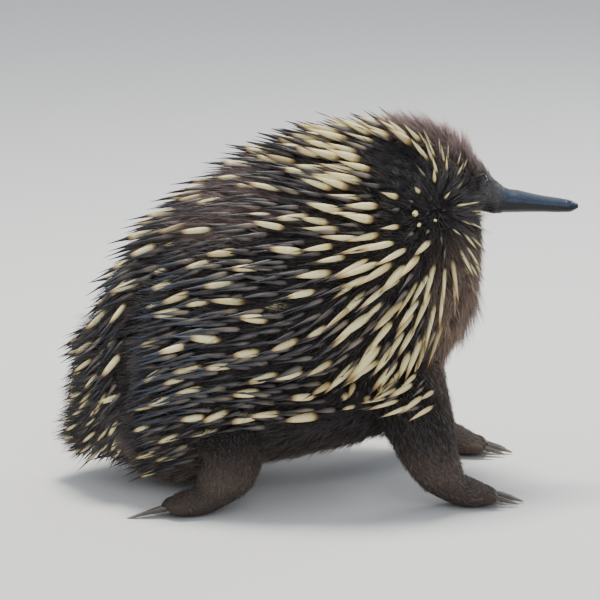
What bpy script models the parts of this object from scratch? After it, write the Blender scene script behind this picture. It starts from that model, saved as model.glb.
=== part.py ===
"""A life-size short-beaked echidna, crouched on its haunches with the chest raised and the beak level.

Metres, +Z up. The origin is on the floor under the middle of the animal, +X points to the beak and
-Y is the animal's right side. The trunk is one loft from the tail to the tip of the beak, parted into
named nodes where a person would name them. A loft's ring is set by a point on the back and a point on
the belly, which follow the animal's outline, and by its half width. Spines grow from rump, torso and neck.
"""
import math

import bmesh
import bpy
import numpy as np
from mathutils import Matrix, Vector
from mathutils.bvhtree import BVHTree

MM = 0.001
GAP = 0.3 * MM
FLOOR = 0.0

RING_SIDES = 28
BEAK_SIDES = 16
LIMB_SIDES = 12
CLAW_SIDES = 5

# Each station of the trunk, in millimetres, out to the tips of the coat: a point on the back, a point on the
# belly, the half width, and how far the widest place lies below the middle, as a share of the height.
TRUNK = {
    "tail_root": ((-171, 66), (-146, 14), 34, 0.05),
    "haunch_end": ((-178.5, 99), (-117, 0), 66, 0.15),
    "haunch": ((-161, 141), (-84, -2), 90, 0.22),
    "loin": ((-122, 194), (-44, 10), 104, 0.24),
    "barrel": ((-66, 236), (-4, 17), 110, 0.22),
    "ribs": ((-8, 258), (36, 26), 107, 0.18),
    "shoulder": ((38, 265), (72, 44), 96, 0.14),
    "neck_root": ((62, 264), (96, 84), 80, 0.10),
    "neck": ((79, 261), (114, 122), 63, 0.06),
    "nape": ((93, 254), (117, 154), 48, 0.03),
    "crown": ((104, 244), (113, 177), 38, 0.0),
    "brow": ((113, 232), (110, 188), 28, -0.04),
    "face": ((120, 221), (114, 190), 19, -0.05),
    "beak_root": ((127.5, 211), (122, 190.5), 12.6, 0.0),
    "beak_third": ((141, 206.6), (139, 191.4), 9.7, 0.0),
    "beak_middle": ((157, 203), (156, 191.6), 7.3, 0.0),
    "beak_end": ((170, 201), (170, 191.4), 6.0, 0.0),
    "beak_lip": ((177, 199.4), (177, 192), 4.9, 0.0),
    "beak_tip": ((180.4, 197.8), (180.4, 193.8), 2.6, 0.0),
}
STATIONS = list(TRUNK)

# Each trunk node: the stations where it starts and ends, and how many rings it has.
TRUNK_NODES = {
    "rump": ("tail_root", "loin", 12),
    "torso": ("loin", "neck_root", 16),
    "neck": ("neck_root", "nape", 8),
    "head": ("nape", "beak_root", 12),
    "beak": ("beak_root", "beak_tip", 14),
}

TAIL_LENGTH = 26 * MM
TAIL_DROOP = math.radians(38)

EYE_RADIUS = 4.2 * MM
EYE_ALONG = 0.30  # of the way from the brow station to the face station
EYE_ROUND = math.radians(58)  # down from the middle of the back, round the ring
EYE_SINK = 0.55  # of the eye's radius, from the coat's surface to its centre
LID_THICKNESS = 1.3 * MM

EAR_ALONG = 0.42  # of the way from the neck root station to the neck station
EAR_ROUND = math.radians(78)
EAR_HEIGHT, EAR_WIDTH, EAR_DEPTH = 14 * MM, 7 * MM, 6 * MM

# The depth of the core under the tips of the spines, and the share that it grows by on top of the rear.
SPINE_COAT = 15 * MM
REAR_COAT = 0.45
# The spiny field at each station from tail_root: how far down round the ring it starts, and where it ends. It
# also ends at the station FIELD_FRONT, and fades out over one length of FRONT_FADE stations.
FIELD_TOP = [-8, -8, -8, -8, -8, -8, -8, 24, 40, 50, 66, 90]
FIELD_END = [175, 162, 150, 138, 134, 134, 132, 124, 116, 102, 96, 90]
FIELD_FADE = math.radians(16)
FIELD_FRONT = 9.7
FRONT_FADE = 0.6
HOLLOW = (6.95, 47, 16 * MM)  # the bare dark hollow behind the head: its station, angle and radius
ELBOW_WHORL = (5.35, 118, 42 * MM)  # where the spines of the flank part above the elbow

# In millimetres at each station from tail_root: how far a spine stands clear of the core, and the distance
# kept between two roots.
SPINE_LENGTHS = [30, 33, 37, 37, 37, 37, 37, 36, 27, 20, 17, 17]
SPINE_SPACINGS = [12.5, 13, 13, 13, 13, 13, 12, 9, 7.2, 7.2, 7.2, 7.2]
SPINE_RADIUS = 2.35 * MM  # where it is thickest, over a third of its length
SPINE_BELLY = 0.36  # where that is, as a share of the length
SPINE_NECK = 0.62  # the radius at the surface, as a share of the thickest
SPINE_SINK = 6 * MM
SPINE_SIDES = 3
SIZE_SPREAD = 0.12
THINNEST = 0.6  # the thickness of a spine of no length, as a share of the longest one's
TAPER = 0.8  # what the thickness loses from there to the tip
# Spines lie back along the trunk, turn to point away from the ear near it, and stand up at the ear and elbow.
SPINE_LIFT = math.radians(19)
REAR_LIFT = math.radians(12)  # what it gains on top of the rear
ERECT_LIFT = math.radians(76)
LIFT_SPREAD = math.radians(5)
TURN_SPREAD = math.radians(7)
RADIAL_CORE = 25 * MM
RADIAL_REACH = 105 * MM
ERECT_REACH = 42 * MM
ERECT_SHORTER = 0.45
ELBOW_ERECT = 0.8
PROUD = 3.5 * MM  # how far a tip may stand out of the trunk's outline before the spine is shortened
CLEAR = 0.45 * MM
OWN_CLEAR = 0.8  # two spines of one node keep this share of their radii together apart
OWN_REACH = 9 * MM  # past this length from its root, a spine keeps clear of its own core too
LOWEST_TIP = 3 * MM
EAR_CLEAR = 9 * MM
WIDEST = 110 * MM  # the trunk's widest half width
EDGE_SPARSE = 0.4  # how much of the field's edge has no spines
SPINY_NODES = ("rump", "torso", "neck")
TRIES = 7000  # places tried in each node
SEED = 11

NOSTRIL_RADIUS = 0.9 * MM
MOUTH_LENGTH = 15 * MM
MOUTH_HEIGHT = 0.7 * MM

# A limb's stations in millimetres, on the left side: the middle of the ring, its half width and half height.
# The leg and the foot part at the station numbered WRIST.
FORELIMB = [
    ((54, 46, 92), 33, 33),
    ((64, 66, 72), 32, 31),
    ((71, 75, 52), 28, 27),
    ((78, 76, 34), 24, 22),
    ((86, 75, 21), 20, 18),
    ((94, 74, 13), 19, 13),
    ((104, 72, 9), 20, 11),
    ((112, 70, 7), 18, 8.5),
    ((118, 69, 6), 13, 6),
]
HINDLIMB = [
    ((-78, 38, 66), 30, 30),
    ((-66, 61, 54), 31, 31),
    ((-60, 80, 40), 28, 27),
    ((-61, 90, 28), 24, 22),
    ((-68, 93, 19), 20, 17.5),
    ((-77, 95, 11), 17, 12.5),
    ((-86, 97, 8.5), 17, 10.5),
    ((-94, 98, 7), 15, 8.5),
    ((-99, 99, 6), 11, 6),
]
WRIST = 4

# Each claw: how far it stands to one side of the foot's middle and how far it turns out, its length and its
# half width. The spades of the forefoot are broad; the hind foot has one long combing claw.
FORE_CLAWS = [(-13, -14, 16, 2.9), (-7, -6, 23, 3.5), (0, 0, 26, 3.8), (7, 6, 23, 3.5), (13, 16, 15, 2.9)]
HIND_CLAWS = [(-12, -20, 12, 2.5), (-6, -8, 35, 3.2), (1, 2, 24, 2.9), (7, 12, 16, 2.5), (12, 24, 11, 2.3)]
CLAW_SINK = 8 * MM
CLAW_FLATNESS = 0.62
CLAW_DROOP = 0.22

COLOURS = {
    "coat": (0.055, 0.040, 0.032, 0.85),
    "fur": (0.095, 0.062, 0.045, 0.85),
    "beak": (0.035, 0.037, 0.045, 0.40),
    "eye": (0.010, 0.008, 0.008, 0.10),
    "ear": (0.060, 0.045, 0.042, 0.70),
}


def clear_scene():
    for obj in list(bpy.data.objects):
        bpy.data.objects.remove(obj)


def material(name):
    """The named finish, made once: colour and roughness."""
    found = bpy.data.materials.get(name)
    if found:
        return found
    red, green, blue, roughness = COLOURS[name]
    made = bpy.data.materials.new(name)
    made.use_nodes = True
    shader = made.node_tree.nodes["Principled BSDF"]
    shader.inputs["Base Color"].default_value = (red, green, blue, 1)
    shader.inputs["Roughness"].default_value = roughness
    return made


def smooth_through(knots, values, at):
    """The values at the places asked for, on a smooth curve through the values at the knots."""
    knots, values, at = np.asarray(knots, float), np.asarray(values, float), np.asarray(at, float)
    slopes = np.gradient(values, knots, axis=0)
    k = np.clip(np.searchsorted(knots, at, side="right") - 1, 0, len(knots) - 2)
    width = (knots[k + 1] - knots[k])[..., None]
    u = ((at - knots[k]) / (knots[k + 1] - knots[k]))[..., None]
    return (
        values[k] * (1 + 2 * u) * (1 - u) ** 2
        + slopes[k] * width * u * (1 - u) ** 2
        + values[k + 1] * u * u * (3 - 2 * u)
        + slopes[k + 1] * width * u * u * (u - 1)
    )


class Trunk:
    """The loft from tail to beak. A place on it is t, counted in stations, and the angle round from the
    back."""

    def __init__(self):
        rows = [TRUNK[name] for name in STATIONS]
        self.table = np.array([[*back, *belly, width, 0] for back, belly, width, _ in rows]) * MM
        self.table[:, -1] = [sag for _, _, _, sag in rows]
        middles = (self.table[:, 0:2] + self.table[:, 2:4]) / 2
        steps = np.linalg.norm(np.diff(middles, axis=0), axis=1)
        self.knots = np.concatenate([[0], np.cumsum(steps)])

    def station(self, t):
        """Back point, belly point, half width and sag at t."""
        place = np.interp(t, np.arange(len(STATIONS)), self.knots)
        row = smooth_through(self.knots, self.table, np.atleast_1d(place))
        return row[..., 0:2], row[..., 2:4], row[..., 4], row[..., 5]

    def point(self, t, angle, inset=0.0):
        """Points of the surface at t and angle, with each ring taken in by inset."""
        t, angle = np.broadcast_arrays(np.atleast_1d(t), np.atleast_1d(angle))
        back, belly, width, sag = self.station(t.ravel())
        middle = (back + belly) / 2
        along = (back - belly) / 2
        half = np.linalg.norm(along, axis=1)
        along = along / half[:, None]
        c, s = np.cos(angle.ravel()), np.sin(angle.ravel())
        up = (half - inset) * c
        out = (width - inset) * s * (1 - sag * c)
        flat = middle + along * up[:, None]
        return np.column_stack([flat[:, 0], out, flat[:, 1]]).reshape(*t.shape, 3)

    def core(self, t, angle, swell=0.0):
        """Points of the surface taken in, within each ring, by the spiny coat's depth."""
        t, angle = np.broadcast_arrays(np.atleast_1d(t).astype(float), np.atleast_1d(angle).astype(float))
        step = 1e-3
        here = self.point(t, angle)
        round_ = unit(self.point(t, angle + step) - self.point(t, angle - step))
        ahead = unit(self.point(t + step, angle) - self.point(t - step, angle))
        across = np.array([self.facing(place) for place in t.ravel()]).reshape(*t.shape, 3)
        level = np.cross(round_, across)
        outward = np.cross(round_, ahead)
        middle = self.point(t, 0.0 * angle) / 2 + self.point(t, 0.0 * angle + math.pi) / 2
        for normal in (level, outward):
            normal *= np.sign(np.sum(normal * (here - middle), axis=-1))[..., None]
        slope = np.clip(np.sum(level * unit(outward), axis=-1), 0.5, 1.0)
        half = np.linalg.norm(here - middle, axis=-1)
        coat = SPINE_COAT * (1 + REAR_COAT * rear_top(t, angle)) * spiny(t, angle)
        depth = np.minimum(coat / slope, half * 0.5) - swell
        return here - level * depth[..., None]

    def facing(self, t):
        """The unit direction towards the head across the ring at t."""
        back, belly, _, _ = self.station(t)
        across = (back - belly)[0]
        return np.array([across[1], 0, -across[0]]) / np.linalg.norm(across)


def unit(vectors):
    return vectors / np.linalg.norm(vectors, axis=-1, keepdims=True)


def ramp(value):
    """From 0 to 1, smoothly, as the value goes from 0 to 1."""
    value = np.clip(value, 0, 1)
    return value * value * (3 - 2 * value)


def from_back(angle):
    """How far round the ring a place is from the middle of the back, either way."""
    return np.abs((angle + math.pi) % (2 * math.pi) - math.pi)


def rear_top(t, angle):
    """How much of the top of the rear, where spines stand up most, there is at t and angle, from 0 to 1."""
    return ramp((4.4 - t) / 2.0) * ramp((math.radians(80) - from_back(angle)) / math.radians(50))


def spiny(t, angle):
    """How much of the spiny field there is at t and angle, from 0 to 1."""
    stations = np.arange(len(FIELD_TOP))
    down = from_back(angle)
    top = np.radians(np.interp(t, stations, FIELD_TOP))
    end = np.radians(np.interp(t, stations, FIELD_END))
    inside = ramp((down - top) / FIELD_FADE + 0.5) * ramp((end - down) / FIELD_FADE + 0.5)
    return inside * ramp((FIELD_FRONT - t) / FRONT_FADE)


def mesh_object(name, verts, faces, finish):
    """An object of this mesh, with its faces pointing out and its round sides shaded smooth."""
    mesh = bpy.data.meshes.new(name)
    mesh.from_pydata([tuple(map(float, v)) for v in verts], [], faces)
    tidy = bmesh.new()
    tidy.from_mesh(mesh)
    bmesh.ops.recalc_face_normals(tidy, faces=tidy.faces)
    bmesh.ops.triangulate(tidy, faces=tidy.faces)
    tidy.to_mesh(mesh)
    tidy.free()
    obj = bpy.data.objects.new(name, mesh)
    bpy.context.scene.collection.objects.link(obj)
    mesh.materials.append(material(finish))
    mesh.shade_smooth()
    return obj


def loft(rings):
    """Verts and faces of a closed skin over rings of the same count, with flat ends."""
    count = len(rings[0])
    verts = np.concatenate(rings)
    faces = []
    for r in range(len(rings) - 1):
        low, high = r * count, (r + 1) * count
        for i in range(count):
            j = (i + 1) % count
            faces.append((low + i, low + j, high + j, high + i))
    faces.append(tuple(range(count))[::-1])
    last = (len(rings) - 1) * count
    faces.append(tuple(range(last, last + count)))
    return verts, faces


def trunk_node(trunk, name, start, end, rings, sides, finish):
    """One length of the trunk, drawn in by half the gap at each end."""
    first, last = STATIONS.index(start), STATIONS.index(end)
    angles = np.linspace(0, 2 * math.pi, sides, endpoint=False)
    made = [trunk.core(t, angles) for t in np.linspace(first, last, rings)]
    for ring, t, side in ((made[0], first, 1), (made[-1], last, -1)):
        ring += trunk.facing(t) * side * GAP / 2
    for ring in made:
        ring[:, 2] = np.maximum(ring[:, 2], FLOOR)
    return mesh_object(name, *loft(made), finish)


def limb_ring(middle, tangent, side, half_width, half_height, sides):
    """A ring of a limb: half_width along side, half_height across side and tangent."""
    rise = np.cross(tangent, side)
    angles = np.linspace(0, 2 * math.pi, sides, endpoint=False)
    return (
        middle
        + np.outer(np.cos(angles) * half_width, side)
        + np.outer(np.sin(angles) * half_height, rise)
    )


def limb_path(stations, mirror):
    """The limb's stations in metres on the asked side, and how far along the limb each lies."""
    table = np.array([[*middle, width, height] for middle, width, height in stations]) * MM
    table[:, 1] *= mirror
    return table, np.concatenate([[0], np.cumsum(np.linalg.norm(np.diff(table[:, :3], axis=0), axis=1))])


def limb_rings(table, knots, at, side, sides):
    """The rings of a limb at the places asked for, with half widths along side, and their tangents."""
    step = 0.1 * MM
    rings, tangents = [], []
    for place in at:
        row = smooth_through(knots, table, [place])[0]
        ends = smooth_through(knots, table, [max(place - step, 0), min(place + step, knots[-1])])
        tangent = ends[1, :3] - ends[0, :3]
        tangent -= side * tangent.dot(side)
        tangent /= np.linalg.norm(tangent)
        rings.append(limb_ring(row[:3], tangent, side, row[3], row[4], sides))
        tangents.append(tangent)
    return rings, tangents


def boolean(obj, other, operation, solver="EXACT"):
    """Joins or cuts obj with the other object, applies it and removes the other."""
    modifier = obj.modifiers.new(operation.lower(), "BOOLEAN")
    modifier.operation = operation
    modifier.object = other
    modifier.solver = solver
    apply_modifiers(obj)
    bpy.data.objects.remove(other)


def apply_modifiers(obj):
    """Puts the object's evaluated mesh in place of its own."""
    bpy.context.view_layer.update()
    graph = bpy.context.evaluated_depsgraph_get()
    mesh = bpy.data.meshes.new_from_object(obj.evaluated_get(graph))
    obj.modifiers.clear()
    obj.data = mesh


def keep_largest(obj):
    """Drops every closed surface of the object but the one with the largest box."""
    work = bmesh.new()
    work.from_mesh(obj.data)
    work.verts.ensure_lookup_table()
    unseen = set(work.verts)
    shells = []
    while unseen:
        stack = [unseen.pop()]
        shell = set(stack)
        while stack:
            for edge in stack.pop().link_edges:
                for vert in edge.verts:
                    if vert not in shell:
                        shell.add(vert)
                        stack.append(vert)
        unseen -= shell
        shells.append(shell)
    shells.sort(key=lambda shell: box_diagonal([v.co for v in shell]))
    for shell in shells[:-1]:
        bmesh.ops.delete(work, geom=list(shell), context="VERTS")
    work.to_mesh(obj.data)
    work.free()


def box_diagonal(points):
    points = np.array(points)
    return np.linalg.norm(points.max(axis=0) - points.min(axis=0))


def ellipsoid(name, middle, half_sizes, axes, segments=12, rings=8, finish="coat"):
    """A ball stretched by half_sizes along the three axes."""
    work = bmesh.new()
    bmesh.ops.create_uvsphere(work, u_segments=segments, v_segments=rings, radius=1)
    points = np.array([v.co for v in work.verts])
    faces = [[v.index for v in f.verts] for f in work.faces]
    work.free()
    verts = middle + (points * np.array(half_sizes)) @ np.array(axes)
    return mesh_object(name, verts, faces, finish)


def ring_round(name, middle, axes, half_sizes, thickness, segments=14, sides=6, finish="coat"):
    """A ring lying across the third axis, with the half sizes along the first two."""
    verts, faces = [], []
    for i in range(segments):
        turn = 2 * math.pi * i / segments
        spoke = np.array([math.cos(turn), math.sin(turn), 0])
        for j in range(sides):
            roll = 2 * math.pi * j / sides
            local = spoke * (np.array([*half_sizes, 0]) + thickness * math.cos(roll))
            local = local + np.array([0, 0, thickness * math.sin(roll)])
            verts.append(middle + local @ np.array(axes))
    for i in range(segments):
        for j in range(sides):
            a, b = i * sides, ((i + 1) % segments) * sides
            k = (j + 1) % sides
            faces.append((a + j, a + k, b + k, b + j))
    return mesh_object(name, verts, faces, finish)


def axes_on(trunk, t, angle):
    """Unit axes at a place on the core: along it to the head, round it, and out of it."""
    step = 1e-3
    here = trunk.core(t, angle)[0]
    ahead = unit(trunk.core(t + step, angle)[0] - here)
    round_ = trunk.core(t, angle + step)[0] - here
    round_ = unit(round_ - ahead * round_.dot(ahead))
    out = np.cross(ahead, round_)
    middle = trunk.point(t, np.array([0, math.pi])).mean(axis=0)
    if out.dot(here - middle) < 0:
        out = -out
    return here, np.array([ahead, round_, out])


def add_eye(trunk, head, side, label):
    """The eyeball in its own node, its socket in the head and a rim of lids round it."""
    t = STATIONS.index("brow") + EYE_ALONG
    surface, axes = axes_on(trunk, t, side * EYE_ROUND)
    middle = surface - axes[2] * EYE_RADIUS * EYE_SINK
    rim = ring_round(
        "lids", surface - axes[2] * LID_THICKNESS * 0.4, axes, (EYE_RADIUS, EYE_RADIUS * 0.86), LID_THICKNESS
    )
    boolean(head, rim, "UNION")
    socket = ellipsoid("socket", middle, [EYE_RADIUS + GAP] * 3, axes, 14, 10)
    boolean(head, socket, "DIFFERENCE")
    return ellipsoid("eye_" + label, middle, [EYE_RADIUS] * 3, axes, 14, 10, "eye")


def add_ear(trunk, owners, side, label):
    """The ear in its own node: a small upright cup with a slit, set in a socket behind the eye."""
    t = STATIONS.index("neck_root") + EAR_ALONG
    surface, axes = axes_on(trunk, t, side * EAR_ROUND)
    upright = np.array([0.0, 0.0, 1.0])
    upright -= axes[2] * upright.dot(axes[2])
    upright /= np.linalg.norm(upright)
    frame = np.array([np.cross(upright, axes[2]), upright, axes[2]])
    sizes = np.array([EAR_WIDTH / 2, EAR_HEIGHT / 2, EAR_DEPTH])
    for owner in owners:
        socket = ellipsoid("socket", surface, sizes + GAP, frame, 14, 8)
        boolean(owner, socket, "DIFFERENCE")
    ear = ellipsoid("ear_" + label, surface, sizes, frame, 14, 8, "ear")
    trim_sizes = [EAR_HEIGHT, EAR_HEIGHT, EAR_DEPTH]
    trim = ellipsoid("trim", surface + axes[2] * EAR_DEPTH * 1.15, trim_sizes, frame, 14, 8)
    boolean(ear, trim, "DIFFERENCE")
    slit = ellipsoid(
        "slit", surface + axes[2] * 0.5 * MM, sizes * np.array([0.42, 0.72, 0.6]), frame, 10, 8
    )
    boolean(ear, slit, "DIFFERENCE")
    return ear


def finish_beak(trunk, beak):
    """The nostrils on top near the tip and the line of the mouth round the end."""
    end = STATIONS.index("beak_lip")
    for side in (-1, 1):
        surface, axes = axes_on(trunk, end - 0.25, side * math.radians(42))
        pit = ellipsoid("pit", surface, [NOSTRIL_RADIUS * 1.7, NOSTRIL_RADIUS, NOSTRIL_RADIUS], axes, 8, 6)
        boolean(beak, pit, "DIFFERENCE")
    tip = trunk.point(STATIONS.index("beak_tip"), np.array([0, math.pi])).mean(axis=0)
    lip = trunk.point(STATIONS.index("beak_middle"), math.pi / 2)[0]
    length, half = MOUTH_LENGTH, lip[1] * 2
    core = 0.62  # the share of the beak's half width that the line leaves whole
    low, high = tip[2] - MOUTH_HEIGHT * 1.5, tip[2] - MOUTH_HEIGHT * 0.5
    for side in (-1, 1):
        inner = [(tip[0] - length, lip[1] * 1.02), (tip[0] - 3 * MM, lip[1] * 0.55 * core)]
        outline = [*inner, (tip[0] + 2 * MM, 0.2 * MM), (tip[0] + 2 * MM, half), (tip[0] - length, half)]
        points = [(x, side * y, z) for z in (low, high) for x, y in outline]
        n = len(outline)
        faces = [tuple(range(n))[::-1], tuple(range(n, 2 * n))]
        faces += [(i, (i + 1) % n, n + (i + 1) % n, n + i) for i in range(n)]
        boolean(beak, mesh_object("mouth", points, faces, "beak"), "DIFFERENCE")


def add_tail(trunk):
    """The short tail, face to face with the flat end of the rump."""
    t = 0
    angles = np.linspace(0, 2 * math.pi, RING_SIDES // 2, endpoint=False)
    ring = trunk.core(t, angles)
    middle = ring.mean(axis=0)
    facing = -trunk.facing(t)
    rings = []
    for share in (0.0, 0.3, 0.6, 0.85, 1.0):
        size = math.sqrt(max(0.0, 1 - share**2.2)) * 0.82 + 0.02
        droop = TAIL_DROOP * share
        centre = middle + facing * (GAP / 2 + TAIL_LENGTH * share) * math.cos(droop)
        centre = centre - np.array([0, 0, 1.0]) * TAIL_LENGTH * share * math.sin(droop)
        made = centre + (ring - middle) * size
        made[:, 2] = np.maximum(made[:, 2], FLOOR + 2 * MM)
        rings.append(made)
    return mesh_object("tail", *loft(rings), "coat")


def trunk_cutter(trunk):
    """The trunk's core to the nape, swollen by the gap, that the limbs are cut with."""
    angles = np.linspace(0, 2 * math.pi, RING_SIDES, endpoint=False)
    rings = []
    for name in ("rump", "torso", "neck"):
        start, end, count = TRUNK_NODES[name]
        places = np.linspace(STATIONS.index(start), STATIONS.index(end), count)
        rings += [trunk.core(t, angles, GAP) for t in places[len(rings) > 0:]]
    return mesh_object("trunk_cutter", *loft(rings), "coat")


def claw(root, ahead, side, length, half_width):
    """A curved, flattened claw: rings that taper and droop from its root to a blunt point."""
    rise = np.cross(ahead, side)
    if rise[2] < 0:
        rise = -rise
    rings = []
    for share in (0.0, 0.35, 0.7, 1.0):
        thin = 1 - 0.7 * share**2.2
        reach = (length + CLAW_SINK) * share - CLAW_SINK
        middle = root + ahead * reach - rise * CLAW_DROOP * length * share * share
        width, height = half_width * MM * thin, half_width * MM * CLAW_FLATNESS * thin
        ring = limb_ring(middle, ahead, side, width, height, CLAW_SIDES)
        ring[:, 2] = np.maximum(ring[:, 2], FLOOR + 0.4 * MM)
        rings.append(ring)
    return mesh_object("claw", *loft(rings), "beak")


def union_of(obj, pieces, solver="EXACT"):
    """One union of the object with the collection of its pieces, applied, with the pieces removed."""
    group = bpy.data.collections.new(obj.name + "_pieces")
    bpy.context.scene.collection.children.link(group)
    for piece in pieces:
        bpy.context.scene.collection.objects.unlink(piece)
        group.objects.link(piece)
    modifier = obj.modifiers.new("pieces", "BOOLEAN")
    modifier.operation = "UNION"
    modifier.operand_type = "COLLECTION"
    modifier.collection = group
    modifier.solver = solver
    apply_modifiers(obj)
    for piece in pieces:
        bpy.data.objects.remove(piece)
    bpy.data.collections.remove(group)


def add_limb(trunk, name, stations, claws, heading, mirror):
    """A leg cut to the trunk, and its foot with the claws joined to it."""
    label = "left" if mirror > 0 else "right"
    ahead_of_foot = np.array([heading[0], heading[1] * mirror, 0.0]) / np.linalg.norm(heading)
    across_foot = np.array([-ahead_of_foot[1], ahead_of_foot[0], 0.0]) * mirror
    table, knots = limb_path(stations, mirror)
    lengths = {"leg": (0, knots[WRIST], 7), "foot": (knots[WRIST], knots[-1], 8)}
    made = {}
    for part, (start, end, count) in lengths.items():
        rings, tangents = limb_rings(table, knots, np.linspace(start, end, count), across_foot, LIMB_SIDES)
        if part == "leg":
            rings[-1] = rings[-1] - tangents[-1] * GAP / 2
        else:
            rings[0] = rings[0] + tangents[0] * GAP / 2
        for ring in rings:
            ring[:, 2] = np.maximum(ring[:, 2], FLOOR)
        made[part] = mesh_object(f"{name}{part}_{label}", *loft(rings), "fur")
    boolean(made["leg"], trunk_cutter(trunk), "DIFFERENCE", "MANIFOLD")
    keep_largest(made["leg"])
    toes = table[-2, :3]
    pieces = []
    for offset, splay, length, half_width in claws:
        turn = math.radians(splay) * mirror
        turned = Matrix.Rotation(turn, 3, "Z") if ahead_of_foot[0] > 0 else Matrix.Rotation(-turn, 3, "Z")
        ahead = np.array(turned @ Vector(ahead_of_foot))
        across = np.array([-ahead[1], ahead[0], 0.0])
        root = toes + (across_foot * offset + ahead_of_foot * (4 - abs(offset) * 0.25)) * MM
        pieces.append(claw(root, ahead, across, length * MM, half_width))
    union_of(made["foot"], pieces)
    keep_largest(made["foot"])


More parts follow.
